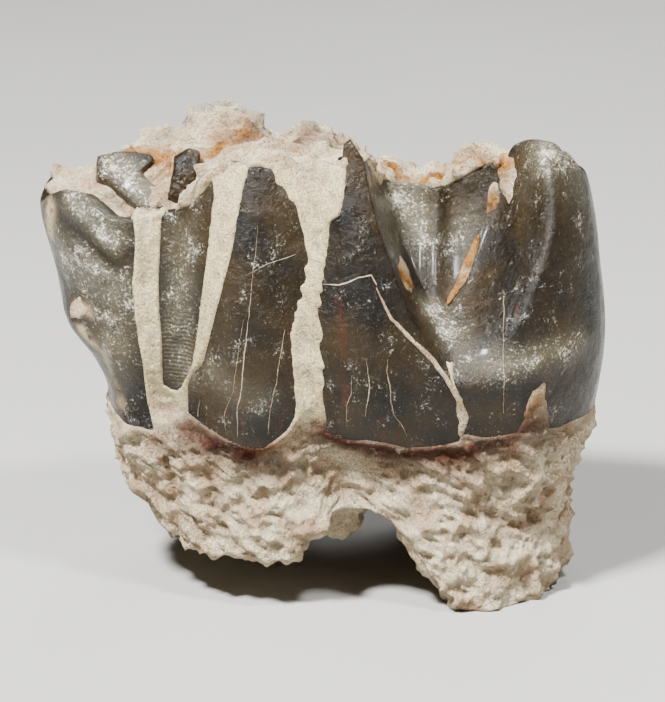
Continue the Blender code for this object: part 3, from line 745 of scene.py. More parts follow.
@dataclass(frozen=True)
class PaleBody:
    """The roots and the pale stone: one closed skin from the root stumps to the broken top.

    Its rows run from the middle of the underside outwards, up the side and over the top to its middle.
    Each point of the side sits on the outer form and is moved along the normal: down under a fragment,
    up to a thin lip along the fragment's edge, and by the stone's own grain.
    """

    plates: tuple[Plate, ...] = PLATES
    top_spots: Points = (  # x, y and height of places on the broken top
        (-13.2, -2.2, 20.2), (-12.9, 0.4, 20.7), (-11.6, 0.9, 21.0), (-10.8, -0.6, 20.7),
        (-12.0, -2.6, 20.6), (-11.2, -5.0, 20.2), (-9.0, -6.0, 20.0), (-6.9, -5.9, 20.4),
        (-5.4, -5.8, 22.1), (-9.6, -3.4, 18.3), (-7.8, -3.4, 18.3), (-9.6, -2.4, 18.8), (-9.8, -1.3, 20.1),
        (-8.3, -1.4, 20.2), (-9.4, -0.2, 21.7), (-8.0, -0.4, 21.4), (-6.7, -1.5, 21.5), (-6.9, -2.7, 19.3),
        (-9.0, 1.6, 21.4), (-8.0, 2.2, 21.6), (-7.2, 2.4, 22.2), (-6.4, 2.5, 22.9), (-5.5, 2.6, 23.5),
        (-4.6, 2.6, 23.5), (-6.2, 0.4, 21.6), (-5.2, -2.6, 21.8), (-3.7, 2.5, 22.9), (-2.9, 2.4, 22.0),
        (-3.2, -5.9, 23.1), (-2.3, -6.0, 22.9), (-4.1, -6.0, 22.9), (-3.4, -1.5, 22.4), (-2.4, 2.3, 21.1),
        (-1.9, 2.2, 21.3), (-1.2, 2.3, 22.3), (-0.6, 2.3, 22.6), (0.3, 2.0, 21.7), (0.9, 1.4, 21.0),
        (-0.8, -4.5, 21.3), (0.4, -5.8, 22.8), (1.4, -5.6, 23.1), (1.2, -2.5, 21.6), (2.9, 1.6, 20.7),
        (4.5, 0.2, 19.9), (5.2, 2.2, 19.6), (7.6, 2.0, 21.5), (9.0, 0.2, 21.2), (10.2, -3.8, 22.5),
        (10.9, -2.2, 22.4), (11.3, -0.8, 21.9), (11.9, 0.8, 20.4), (10.6, 2.8, 19.6), (6.6, 4.4, 18.8),
        (2.0, 4.6, 18.8), (-2.6, 4.8, 20.0), (-7.0, 4.8, 19.6), (-11.6, 3.2, 18.8), (12.7, -1.0, 20.3),
    )
    top_middle: tuple[float, float] = (2.2, 2.2)
    stumps: tuple[Stump, ...] = (
        Stump((8.9, -3.6), 6.6, 8.0, 8.0, 4.8, 0.0),
        Stump((8.4, 4.6), 5.6, 8.0, 3.8, 8.0, 0.0),
        Stump((-5.0, -3.4), 4.4, 6.2, 8.0, 4.8, 2.75, 0.58),
        Stump((-4.6, 4.5), 7.6, 5.4, 3.4, 8.0, 0.0),
        Stump((0.9, -2.4), 1.9, 1.9, 2.2, 2.2, 2.5, 0.2),
    )
    vault: float = 5.2  # height of the hollow between the stumps
    bevel: float = 0.25  # from the side's last row up to the top's edge
    sunk: float = 0.5  # under a fragment
    lip: float = 0.1  # along a fragment's edge
    lip_fade: float = 0.45  # over which the lip falls back to the form
    stray: float = 0.03  # how far the stone's edge strays
    stray_size: float = 0.9
    bare_over: float = 0.8  # from a fragment's edge to where the stone's relief is full
    seam_grain: float = 0.15  # depth of the stone's relief in the seams
    root_grain: float = 0.3  # what the roots add to it
    top_grain: float = 0.38  # what the broken top adds
    root_top: float = 9.8  # where the roots end
    root_fade: float = 1.4  # how far below that their relief is full
    seam_base: float = 9.6  # where the seams' lighter stone, partly painted light on the crown, starts
    seam_fade: float = 1.2
    seam_reach: float = 1.1  # from a fragment's edge
    lumps: tuple[Stroke, ...] = (
        Stroke((-0.5, 9.5), (-0.3, 15.5), 0.5, 0.14),
        Stroke((-0.3, 15.5), (0.0, 20.5), 0.6, 0.10),
        Stroke((-6.2, 11.5), (-4.6, 19.5), 0.25, 0.08),
        Stroke((-7.2, 5.5), (-7.4, 6.4), 0.16, -0.45),
        Stroke((-7.4, 6.4), (-7.65, 7.5), 0.12, -0.35),
        Stroke((-1.0, 4.3), (1.0, 4.9), 0.35, 0.35),
        Stroke((-9.6, 8.2), (-9.0, 5.0), 0.6, 0.3),
        Stroke((-5.0, 7.9), (4.0, 7.4), 0.8, -0.25),
        Stroke((9.5, 7.5), (11.5, 4.0), 0.9, 0.3),
    )
    front_columns: tuple[int, ...] = (150, 14, 26, 24, 56)
    back_columns: int = 130
    bottom_rows: int = 34
    side_rows: int = 156
    top_rows: int = 52
    seed: int = 5

    def _columns(self) -> tuple[np.ndarray, np.ndarray]:
        """Give each column's share before it is bent, and whether it is on the front."""
        knots = np.array([-1.0, *FORM.knots, 1.0])
        turns = FORM.half_turn(knots)
        front = np.concatenate([np.linspace(turns[i], turns[i + 1], count, endpoint=False)
                                for i, count in enumerate(self.front_columns)])
        back = np.linspace(np.pi, 2 * np.pi, self.back_columns, endpoint=False)
        share = FORM.share(np.concatenate([front, back]))
        return share, np.arange(len(share)) < len(front)

    def top_height(self, x: np.ndarray, y: np.ndarray) -> np.ndarray:
        """Give the broken top's height: the nearest spots count most."""
        return spread(self.top_spots, x, y)

    def bottom_height(self, x: np.ndarray, y: np.ndarray) -> np.ndarray:
        """Give the underside's height: the vault, or the lowest stump there."""
        return np.minimum.reduce([stump.height(x, y, self.vault) for stump in self.stumps])

    def _edge(self, share: np.ndarray, is_front: np.ndarray, height_of: HeightMap, start: float,
              passes: int = 14) -> np.ndarray:
        """Find the height at which each column meets the top or the underside, by halving what is left."""
        z = np.full(share.shape, start)
        for _ in range(passes):
            x, y = FORM.ring(np.where(is_front, FORM.bent(share, z), share), is_front, z)
            z = 0.5 * z + 0.5 * height_of(x, y + FORM.push(x, y, z))
        return z

    def _cap(self, share: np.ndarray, is_front: np.ndarray, edge: np.ndarray, height_of: HeightMap,
             middle: tuple[float, float], parts: np.ndarray) -> np.ndarray:
        """Give the rows of the top or the underside, each a smaller copy of the edge.

        Args:
            share: Each column's share before it is bent.
            is_front: Whether it is on the front.
            edge: Its height at the edge.
            height_of: Gives the height of a place.
            middle: Where the rows shrink to.
            parts: Each row's size, 1 at the edge.

        Returns:
            (rows, columns, 3) points.
        """
        edge_x, edge_y = FORM.ring(np.where(is_front, FORM.bent(share, edge), share), is_front, edge)
        part = parts[:, None]
        x = middle[0] + part * (edge_x - middle[0])
        y = middle[1] + part * (edge_y - middle[1])
        y = y + FORM.push(x, y, np.interp(x, edge_x[is_front], edge[is_front]))
        z = np.where(part == 1.0, edge, height_of(x, y))
        return np.stack([x, y, z], axis=-1)

    def _side(self, share: np.ndarray, is_front: np.ndarray, low: np.ndarray,
              high: np.ndarray) -> tuple[np.ndarray, np.ndarray]:
        """Give the side's rows and their unrolled places."""
        part = np.linspace(0.0, 1.0, self.side_rows + 1)[1:-1, None]
        z = low + part * (high - low)
        bent = np.where(is_front, FORM.bent(share, z), share)
        x, y = FORM.ring(bent, is_front, z)
        points = np.stack([x, y + FORM.push(x, y, z), z], axis=-1)
        half_turn = FORM.half_turn(bent)
        turn = np.where(is_front, half_turn, 2 * np.pi - half_turn)
        return points, np.stack([FLAT.across(turn), z], axis=-1)

    def _outside(self, flat: np.ndarray, most: float = 2.5) -> np.ndarray:
        """Give how far unrolled places lie outside the nearest fragment, below zero under it."""
        places = flat.reshape(-1, 2)
        result = np.full(len(places), most)
        for plate in self.plates:
            window = plate.window()
            for lap in (0.0, -FLAT.round):
                result = np.minimum(result, distance_outside(places + [lap, 0.0], window, most))
        return result.reshape(flat.shape[:2])

    def _lap(self, outside: np.ndarray) -> np.ndarray:
        """Give the stone's height over the form near a fragment: sunk under it, then a thin proud lip."""
        start, rise = 0.2, 0.35  # how far inside the edge the stone starts to rise, and over how much
        risen = ease((outside + start) / rise)
        falling = np.exp(-np.clip(outside - (rise - start), 0.0, None) / self.lip_fade)
        return -self.sunk + (self.sunk + self.lip * falling) * risen

    def make(self, material: bpy.types.Material) -> bpy.types.Object:
        """Build the body."""
        share, is_front = self._columns()
        low = self._edge(share, is_front, self.bottom_height, 3.0)
        high = self._edge(share, is_front, self.top_height, 21.0) - self.bevel
        bottom = self._cap(share, is_front, low, self.bottom_height, (FORM.side, FORM.side),
                           np.linspace(0.0, 1.0, self.bottom_rows + 1)[1:])
        side, flat = self._side(share, is_front, low, high)
        shrinking = np.linspace(1.0, 0.0, self.top_rows + 1)[:-1]
        top = self._cap(share, is_front, high, self.top_height, self.top_middle, shrinking)
        grain, outside = Grain(self.seed), self._outside(flat)
        strayed = outside + self.stray * grain.rough(side, self.stray_size, 3)
        none_below, none_above = np.zeros(bottom.shape[:2]), np.zeros(top.shape[:2])

        under = ease((0.1 - strayed[-1]) / 0.5)  # columns whose fragment reaches the top's edge
        fade = ease((shrinking - 0.72) / 0.2)[:, None]  # the top's outer rows go down with them
        lap = np.concatenate([none_below, self._lap(strayed), -self.sunk * under * fade])
        lumps = sum(stroke.at(side[..., 0], side[..., 2]) * (side[..., 1] < 0) for stroke in self.lumps)
        lumps = np.concatenate([none_below, lumps * ease((strayed + 0.1) / 0.2), none_above])

        grid = np.concatenate([bottom, side, top])
        bare = np.concatenate([none_below + 1.0, ease(strayed / self.bare_over), none_above + 1.0])
        rock = self._rock(grid, grain)
        is_top = np.arange(len(grid))[:, None] >= len(bottom) + len(side)
        coarse = (self.seam_grain + self.root_grain * ease((self.root_top - grid[..., 2]) / self.root_fade)
                  + self.top_grain * is_top)
        height = lap + lumps + coarse * bare * rock
        grid = grid + normals_of(grid, closed=True) * height[..., None]
        grid[..., 2] = np.maximum(grid[..., 2], 0.0)

        points, faces = self._closed(grid)
        piece = mesh_object("roots_and_stone", points, faces, material,
                            "roots_and_matrix")
        near = np.exp(-(np.clip(outside, 0.0, None) / self.seam_reach) ** 2)
        # Where the seams are lightened: partly paler stone, partly painted light on the crown, which is lit
        # more than the roots.
        seam_and_light = near * ease((side[..., 2] - self.seam_base) / self.seam_fade)
        # Painted shade: the stone's relief is stored so that the material darkens its hollows, more so on the
        # broken top.
        self._paint(piece, "hollow", rock * (1.0 + 0.9 * is_top))
        self._paint(piece, "seam_and_light", np.concatenate([none_below, seam_and_light, none_above]))
        return piece

    @staticmethod
    def _rock(grid: np.ndarray, grain: Grain) -> np.ndarray:
        """Give the stone's own relief: broad swells, ledges that slant down to the right, and crumbs.

        The ledges' space is turned by about 30 degrees and stretched along the slant. Swells are 2.6 mm
        wide, ledges 1.3, 0.7 and 0.38 mm, and crumbs 0.5 mm.
        """
        x, y, z = np.moveaxis(grid, -1, 0)
        slanting = np.stack([0.75 * (0.85 * x - 0.5 * z), y, 1.2 * (0.5 * x + 0.85 * z)], axis=-1)
        ledges = (grain.ledges(slanting + 90.0, 1.3) + 0.65 * grain.ledges(slanting + 20.0, 0.7)
                  + 0.5 * grain.ledges(slanting + 60.0, 0.38) - 1.15)
        return 0.5 * grain.rough(grid, 2.6, 2) + 0.8 * ledges + 0.7 * grain.rough(slanting + 50.0, 0.5, 2)

    def _closed(self, grid: np.ndarray) -> Shape:
        """Close the rows with a point at each end and give vertices and faces."""
        rows, columns = grid.shape[:2]
        number = np.arange(rows * columns).reshape(rows, columns)
        after = np.roll(number, -1, axis=1)
        quads = np.stack([number[:-1], after[:-1], after[1:], number[1:]], -1).reshape(-1, 4)
        south, north = rows * columns, rows * columns + 1
        ends = [(south, int(b), int(a)) for a, b in zip(number[0], after[0])]
        ends += [(north, int(a), int(b)) for a, b in zip(number[-1], after[-1])]
        points = np.concatenate([grid.reshape(-1, 3), grid[0].mean(0)[None], grid[-1].mean(0)[None]])
        return points, quads.tolist() + ends

    @staticmethod
    def _paint(piece: bpy.types.Object, name: str, values: np.ndarray) -> None:
        """Store a grid of numbers, and each end row's mean at the end point."""
        paint(piece, name, np.concatenate([values.ravel(), [values[0].mean(), values[-1].mean()]]))


@dataclass(frozen=True)
class Vein:
    """Pale stone that fills a crack: a flattened, tapering tube along (x, z) points on the form."""

    line: Points
    widths: tuple[float, ...]
    height: float = 0.06
    ragged: float = 0.25  # how much the width varies, as a share
    seed: int = 1
    wander: float = 0.06  # how far the vein strays from its line
    depth: float = 0.12
    samples: int = 160
    corners: int = 10

    def shape(self) -> Shape:
        """Give the tube's vertices and faces."""
        share = np.linspace(0.0, 1.0, self.samples)
        path = softened(along(flattened(along(self.line, np.linspace(0.0, 1.0, 200))), share), 3)
        path[:, 0] += self.wander * Grain(self.seed).rough(on_form(path), 0.7, 3)
        centre = on_form(path)
        normal = normals_at(on_form, path, centre)
        across = unit(np.cross(np.gradient(centre, axis=0), normal))
        wobble = 1.0 + self.ragged * Grain(self.seed).rough(centre, 0.35, 3)
        stops = np.linspace(0.0, 1.0, len(self.widths))
        half = 0.5 * np.interp(share, stops, self.widths) * wobble * np.sqrt(1.0 - (2 * share - 1.0) ** 12)
        angle = np.linspace(0.0, 2 * np.pi, self.corners, endpoint=False)[None, :, None]
        rise = np.where(np.sin(angle) > 0, self.height * np.sin(angle), self.depth * np.sin(angle))
        ring = (centre[:, None] + across[:, None] * np.cos(angle) * np.maximum(half, 0.004)[:, None, None]
                + normal[:, None] * rise)
        number = np.arange(self.samples * self.corners).reshape(self.samples, self.corners)
        after = np.roll(number, -1, axis=1)
        quads = np.stack([number[:-1], number[1:], after[1:], after[:-1]], -1).reshape(-1, 4).tolist()
        return ring.reshape(-1, 3), quads + [number[0].tolist(), number[-1, ::-1].tolist()]


@dataclass(frozen=True)
class Crust:
    """A thin skin of stone left on the enamel, inside an (x, z) outline on the form."""

    outline: Points
    height: float = 0.08
    seed: int = 2
    depth: float = 0.12

    def shape(self) -> Shape:
        """Give the skin's vertices and faces."""
        closed = self.outline + self.outline[:1]
        edge = flattened(along(closed, np.linspace(0.0, 1.0, 121)))[:-1]
        return skin(edge, on_form, self.height, self.depth, self.seed, roughness=0.9, ragged=0.35)


def anticlockwise(shape: Shape) -> Shape:
    """Turn a closed shape's faces outwards."""
    points, faces = shape
    total = 0.0
    for face in faces:
        for i in range(1, len(face) - 1):
            a, b, c = points[face[0]], points[face[i]], points[face[i + 1]]
            total += a @ np.cross(b, c)
    return (points, faces) if total > 0 else (points, [face[::-1] for face in faces])


@dataclass(frozen=True)
class CrackFilling:
    """All the pale veins and crusts on the enamel, as one piece of stone."""

    veins: tuple[Vein, ...] = (
        # The main crack, from the cusp's middle down to the base, swelling into a drop.
        Vein(((2.55, 17.0), (2.85, 16.3), (3.3, 15.4), (4.1, 14.5), (5.1, 13.5), (5.9, 12.4),
              (6.55, 11.3), (6.75, 10.2), (6.65, 9.3)),
             (0.08, 0.14, 0.22, 0.2, 0.26, 0.24, 0.3, 0.5, 0.36), 0.08, 0.3, 21),
        Vein(((0.0, 17.0), (0.8, 17.1), (1.7, 17.5), (2.3, 17.6), (2.55, 17.1)),
             (0.03, 0.07, 0.06, 0.08), 0.04),
        # The yellow vein down the cleft's right wall.
        Vein(((7.65, 17.75), (7.4, 17.15), (6.8, 15.9), (6.2, 15.2), (6.0, 15.0)),
             (0.2, 0.5, 0.5, 0.4, 0.2), 0.16, 0.25, 22),
        # Hairlines down the cusp.
        Vein(((2.06, 13.6), (2.16, 13.1), (2.23, 12.2), (2.07, 11.1), (2.03, 10.7)),
             (0.01, 0.04, 0.01), 0.02),
        Vein(((3.1, 13.5), (3.07, 12.9), (3.26, 11.9), (3.27, 11.4), (3.37, 10.7), (3.76, 10.1),
              (4.06, 9.4)), (0.01, 0.04, 0.03, 0.02), 0.02),
        Vein(((1.4, 12.8), (1.36, 11.8), (1.14, 11.2), (1.1, 10.2)), (0.01, 0.03, 0.01), 0.02),
        # Hairlines down the middle lobe, the widest from top to base.
        Vein(((-3.04, 19.9), (-3.43, 16.4), (-3.88, 12.0), (-4.09, 11.0), (-4.06, 9.4)),
             (0.01, 0.02, 0.05, 0.06, 0.04), 0.02, 0.35, 23),
        Vein(((-3.76, 15.5), (-4.27, 11.9), (-4.73, 10.45), (-4.65, 9.6)), (0.01, 0.03, 0.03), 0.02),
        Vein(((-1.78, 14.9), (-2.31, 11.9), (-2.51, 10.7), (-2.62, 9.6)), (0.01, 0.03, 0.03), 0.02),
        Vein(((-5.93, 10.8), (-6.05, 9.8)), (0.02, 0.04), 0.02),
        Vein(((-3.66, 17.6), (-2.6, 18.1), (-1.25, 18.4)), (0.01, 0.03, 0.02), 0.02),
        # A hairline down the right lobe.
        Vein(((8.7, 15.8), (8.66, 13.3), (8.7, 10.5)), (0.01, 0.03, 0.01), 0.02),
    )
    crusts: tuple[Crust, ...] = (
        # The flame of stained stone at the right lobe's base.
        Crust(((9.3, 9.1), (9.65, 9.85), (9.85, 11.1), (10.25, 11.6), (10.75, 11.75), (10.8, 10.7),
               (10.95, 9.8), (11.15, 9.0), (10.2, 8.9)), 0.1, 31),
        # The lens of stone between the cleft and the right lobe's top, and the rusty pocket under it.
        Crust(((8.55, 20.2), (8.8, 19.6), (9.1, 19.2), (9.35, 19.9), (9.45, 20.7), (9.4, 21.6),
               (8.9, 21.4), (8.55, 20.9)), 0.16, 32),
        Crust(((8.0, 18.6), (8.45, 18.8), (8.75, 19.4), (8.6, 20.2), (8.35, 20.3), (8.1, 19.6)), 0.08, 33),
        # The rusty patch on the cusp's edge over the cleft.
        Crust(((3.5, 17.6), (3.75, 17.5), (4.1, 16.8), (4.45, 15.95), (4.3, 15.9), (3.85, 16.7)), 0.05, 34),
        # The pale tip and the small bean of stone on the left lobe.
        Crust(((-12.3, 14.1), (-11.7, 14.3), (-11.5, 14.8), (-11.8, 15.4), (-12.1, 15.0)), 0.16, 35),
        Crust(((-11.65, 15.6), (-11.4, 15.65), (-11.4, 15.85), (-11.65, 15.8)), 0.08, 36),
    )

    def make(self, material: bpy.types.Material) -> bpy.types.Object:
        """Build the piece."""
        points, faces, count = [], [], 0
        for part in (*self.veins, *self.crusts):
            part_points, part_faces = anticlockwise(part.shape())
            points.append(part_points)
            faces += [[number + count for number in face] for face in part_faces]
            count += len(part_points)
        points = np.concatenate(points)
        return mesh_object("stone_in_cracks", points, faces, material, "roots_and_matrix")


@dataclass(frozen=True)
class Remain:
    """A dark remnant in the worn pit: a rounded slab inside an (x, z) outline, leaning back.

    Its surface is y = depth + lean (z - z0) + hollow (x - x0)^2, with (x0, z0) the outline's middle.
    """

    name: str
    outline: Points
    depth: float
    lean: float
    hollow: float
    bulge: float
    thickness: float
    seed: int

    def _place(self, flat: np.ndarray) -> np.ndarray:
        """Put (x, z) places on the leaning surface."""
        middle_x, middle_z = np.array(self.outline).mean(0)
        y = self.depth + self.lean * (flat[:, 1] - middle_z) + self.hollow * (flat[:, 0] - middle_x) ** 2
        return np.stack([flat[:, 0], y, flat[:, 1]], -1)

    def make(self, material: bpy.types.Material) -> bpy.types.Object:
        """Build the remnant."""
        points, faces = anticlockwise(skin(np.array(self.outline), self._place, self.bulge, self.thickness,
                                           self.seed, roughness=0.3, rings=26, sides=120))
        return mesh_object("enamel_" + self.name, points, faces, material, self.name)


REMAINS = (
    Remain("pit_wall",
           ((-11.0, 21.55), (-10.1, 21.7), (-9.3, 21.7), (-8.3, 21.55), (-8.3, 21.3), (-8.8, 20.85),
            (-8.5, 20.5), (-7.8, 20.15), (-7.7, 19.5), (-8.6, 19.4), (-9.2, 19.6), (-10.1, 20.2),
            (-11.0, 20.75)), -1.3, 0.95, -0.06, 0.18, 0.9, 41),
    Remain("pit_pillar",
           ((-7.22, 21.8), (-6.5, 22.2), (-5.95, 22.0), (-5.85, 21.1), (-6.2, 20.1), (-6.8, 19.5),
            (-7.6, 19.5), (-7.5, 20.3), (-7.3, 21.1)), -2.1, 0.35, 0.3, 0.5, 0.7, 42),
)


def linear(code: str) -> tuple[float, float, float, float]:
    """Turn an sRGB hex code into linear RGBA."""
    parts = [int(code[i:i + 2], 16) / 255.0 for i in (1, 3, 5)]
    return (*(part / 12.92 if part <= 0.04045 else ((part + 0.055) / 1.055) ** 2.4 for part in parts), 1.0)


def add_node(tree: bpy.types.NodeTree, kind: str, settings: dict | None = None,
             inputs: dict | None = None) -> bpy.types.Node:
    """Add a node to a tree.

    Args:
        tree: The material's node tree.
        kind: The node's type.
        settings: The node's own properties.
        inputs: For each socket a value, or the output socket that feeds it.

    Returns:
        The node.
    """
    made = tree.nodes.new(kind)
    for name, value in (settings or {}).items():
        setattr(made, name, value)
    for name, value in (inputs or {}).items():
        if isinstance(value, bpy.types.NodeSocket):
            tree.links.new(value, made.inputs[name])
        else:
            made.inputs[name].default_value = value
    return made


Input = bpy.types.NodeSocket | float | str


class Shader:
    """A material under construction, with the few patterns that stone and enamel share."""

    def __init__(self, name: str) -> None:
        """Start an empty material."""
        self.material = bpy.data.materials.new(name)
        self.material.use_nodes = True
        self.tree = self.material.node_tree
        self.tree.nodes.clear()
        self.place = add_node(self.tree, "ShaderNodeTexCoord").outputs["Object"]

    def noise(self, size: float, detail: float = 3.0, roughness: float = 0.55,
              stretch: tuple = (1.0, 1.0, 1.0), shift: float = 0.0,
              distortion: float = 0.0) -> bpy.types.NodeSocket:
        """Add noise.

        Args:
            size: Width of the largest lumps in millimetres.
            detail: How many times the lumps are halved.
            roughness: How much each finer layer counts.
            stretch: Scale along each axis, less than 1 to draw the lumps out.
            shift: Moves the pattern, so that two of the same size differ.
            distortion: How much the pattern is stirred.

        Returns:
            A value round 0.5, from 0 to 1.
        """
        mapped = add_node(self.tree, "ShaderNodeMapping", inputs={
            "Vector": self.place, "Location": (shift * MM, shift * MM, shift * MM), "Scale": stretch})
        made = add_node(self.tree, "ShaderNodeTexNoise", inputs={
            "Vector": mapped.outputs["Vector"], "Scale": 1.0 / (size * MM), "Detail": detail,
            "Roughness": roughness, "Distortion": distortion})
        return made.outputs["Fac"]

    def between(self, value: bpy.types.NodeSocket, low: float, high: float) -> bpy.types.NodeSocket:
        """Rise smoothly from 0 to 1 as a value goes from low to high."""
        made = add_node(self.tree, "ShaderNodeMapRange", {"interpolation_type": "SMOOTHSTEP"}, {
            "Value": value, "From Min": low, "From Max": high})
        return made.outputs["Result"]

    def maths(self, operation: str, first: Input, second: Input) -> bpy.types.NodeSocket:
        """Combine two values."""
        made = add_node(self.tree, "ShaderNodeMath", {"operation": operation})
        for socket, value in zip(made.inputs, (first, second)):
            if isinstance(value, bpy.types.NodeSocket):
                self.tree.links.new(value, socket)
            else:
                socket.default_value = value
        return made.outputs["Value"]

    def times(self, *values: Input) -> bpy.types.NodeSocket:
        """Multiply values."""
        result = values[0]
        for value in values[1:]:
            result = self.maths("MULTIPLY", result, value)
        return result

    def painted(self, name: str) -> bpy.types.NodeSocket:
        """Read a number stored on the vertices."""
        return add_node(self.tree, "ShaderNodeAttribute", {"attribute_name": name}).outputs["Fac"]

    def blend(self, share: Input, under: Input, over: Input) -> bpy.types.NodeSocket:
        """Blend two colours, given as hex codes or sockets; at a share of 0 the first one shows."""
        under, over = (linear(colour) if isinstance(colour, str) else colour for colour in (under, over))
        made = add_node(self.tree, "ShaderNodeMix", {"data_type": "RGBA"})
        for number, value in ((0, share), (6, under), (7, over)):
            if isinstance(value, bpy.types.NodeSocket):
                self.tree.links.new(value, made.inputs[number])
            else:
                made.inputs[number].default_value = value
        return made.outputs[2]

    def bump(self, height: bpy.types.NodeSocket, distance: float, strength: float = 1.0,
             under: bpy.types.NodeSocket | None = None) -> bpy.types.NodeSocket:
        """Turn a height into relief that is distance millimetres deep."""
        inputs = {"Height": height, "Distance": distance * MM, "Strength": strength}
        if under is not None:
            inputs["Normal"] = under
        return add_node(self.tree, "ShaderNodeBump", inputs=inputs).outputs["Normal"]

    def finish(self, inputs: dict) -> bpy.types.Material:
        """Close the material with its shader."""
        shader = add_node(self.tree, "ShaderNodeBsdfPrincipled", inputs=inputs)
        add_node(self.tree, "ShaderNodeOutputMaterial", inputs={"Surface": shader.outputs["BSDF"]})
        return self.material


class Tint(Enum):
    """The stains that the materials read."""

    HAZE_AND_SHEEN = "haze_and_sheen"  # dense pale specks on worn enamel, and painted sheen where the enamel catches the light
    RED = "red"
    PALE = "pale"  # enamel worn down to a pale edge
    ROWS = "rows"  # growth rows
    ORANGE = "orange"
    PURPLE = "purple"
    GREY = "grey"


@dataclass(frozen=True)
class EnamelFinish:
    """Fossil tooth enamel: grown, buried and stained, then cleaned by hand.

    It gives the eye a dark olive-brown glass with a dull gloss, under a dust of pale specks that gather
    where the skin is worn, with faint growth rows and a red cast near a few old cracks. The specks are
    partly painted glints, and a pale haze over them is partly painted sheen where the enamel catches the
    light.
    """

    dark: str = "#0c0804"
    olive: str = "#261b08"
    red: str = "#451706"
    # partly pale specks, partly painted glints
    speck_and_glint: str = "#cfccbb"
    # painted sheen, laid where the enamel should catch the light
    haze_and_sheen: str = "#7f7862"
    pale: str = "#b9a47e"
    clouds: float = 3.4  # millimetres, as all pattern sizes here
    streaks: float = 0.8
    streak_stretch: tuple[float, float, float] = (1.0, 1.0, 0.14)
    clusters: float = 1.2
    specks: float = 0.15  # real ones are about 0.05; drawn coarser, so that a pixel can hold one
    waves: float = 0.9
    growth_rows: float = 0.66  # rows come out 0.21 apart; real ones are finer and wouldn't show
    specular: float = 0.24
    coat: float = 0.08
    coat_roughness: float = 0.12

    def build(self) -> bpy.types.Material:
        """Make the material."""
        shader = Shader("fossil_enamel")
        specks = self._specks(shader)
        gloss = shader.between(shader.noise(1.1, 4.0, 0.6, shift=3.0), 0.3, 0.7)
        roughness = shader.maths("ADD", shader.maths("ADD", shader.times(gloss, 0.22), 0.2),
                                 shader.times(specks, 0.3))
        return shader.finish({"Base Color": self._colour(shader, specks), "Roughness": roughness,
                              "Normal": self._relief(shader), "Coat Weight": self.coat,
                              "Coat Roughness": self.coat_roughness, "Specular IOR Level": self.specular})

    def _specks(self, shader: Shader) -> bpy.types.NodeSocket:
        """Give the cover of pale specks, partly painted glints, which crowd in clusters and under the haze of
        pale specks and painted sheen.
        """
        clusters = shader.between(shader.noise(self.clusters, 6.0, 0.75, shift=23.0), 0.44, 0.7)
        haze_and_sheen = shader.times(shader.painted(Tint.HAZE_AND_SHEEN.value), 0.16)
        density = shader.maths("ADD", shader.times(clusters, 0.14), haze_and_sheen)
        dust = shader.maths("ADD", shader.noise(self.specks, 5.0, 0.85, shift=5.0), density)
        return shader.times(shader.between(dust, 0.62, 0.82), 0.85)

    def _colour(self, shader: Shader, specks: bpy.types.NodeSocket) -> bpy.types.NodeSocket:
        """Give the colour: olive clouds on near black, red streaks, a haze that is partly painted sheen,
        specks that are partly painted glints, and pale worn edges.
        """
        clouds = shader.between(shader.noise(self.clouds, 4.0), 0.35, 0.68)
        colour = shader.blend(clouds, self.dark, self.olive)
        streaks = shader.between(shader.noise(self.streaks, 3.0, 0.6, self.streak_stretch, 11.0), 0.56, 0.72)
        colour = shader.blend(shader.times(streaks, shader.painted(Tint.RED.value), 0.8), colour, self.red)
        # Painted sheen: the haze lightens the enamel where it catches the light.
        colour = shader.blend(shader.times(shader.painted(Tint.HAZE_AND_SHEEN.value), 0.4), colour, self.haze_and_sheen)
        # Pale specks, partly painted glints.
        colour = shader.blend(specks, colour, self.speck_and_glint)
        worn = shader.between(shader.noise(0.5, 4.0, 0.6, shift=41.0), 0.25, 0.6)
        return shader.blend(shader.times(shader.painted(Tint.PALE.value), worn), colour, self.pale)

    def _relief(self, shader: Shader) -> bpy.types.NodeSocket:
        """Give the relief: slow waves, the specks' grit, and the growth rows where they are painted."""
        relief = shader.bump(shader.noise(self.waves, 4.0, 0.6, shift=7.0), 0.22, 0.9)
        relief = shader.bump(shader.noise(0.17, 5.0, 0.8, shift=5.0), 0.06, 0.9, relief)
        rows = add_node(shader.tree, "ShaderNodeTexWave", {"bands_direction": "Z"}, {
            "Vector": shader.place, "Scale": 1.0 / (self.growth_rows * MM), "Distortion": 1.6, "Detail": 2.0,
            "Detail Scale": 0.8})
        height = shader.times(rows.outputs["Fac"], shader.painted(Tint.ROWS.value))
        return shader.bump(height, 0.03, 0.9, relief)


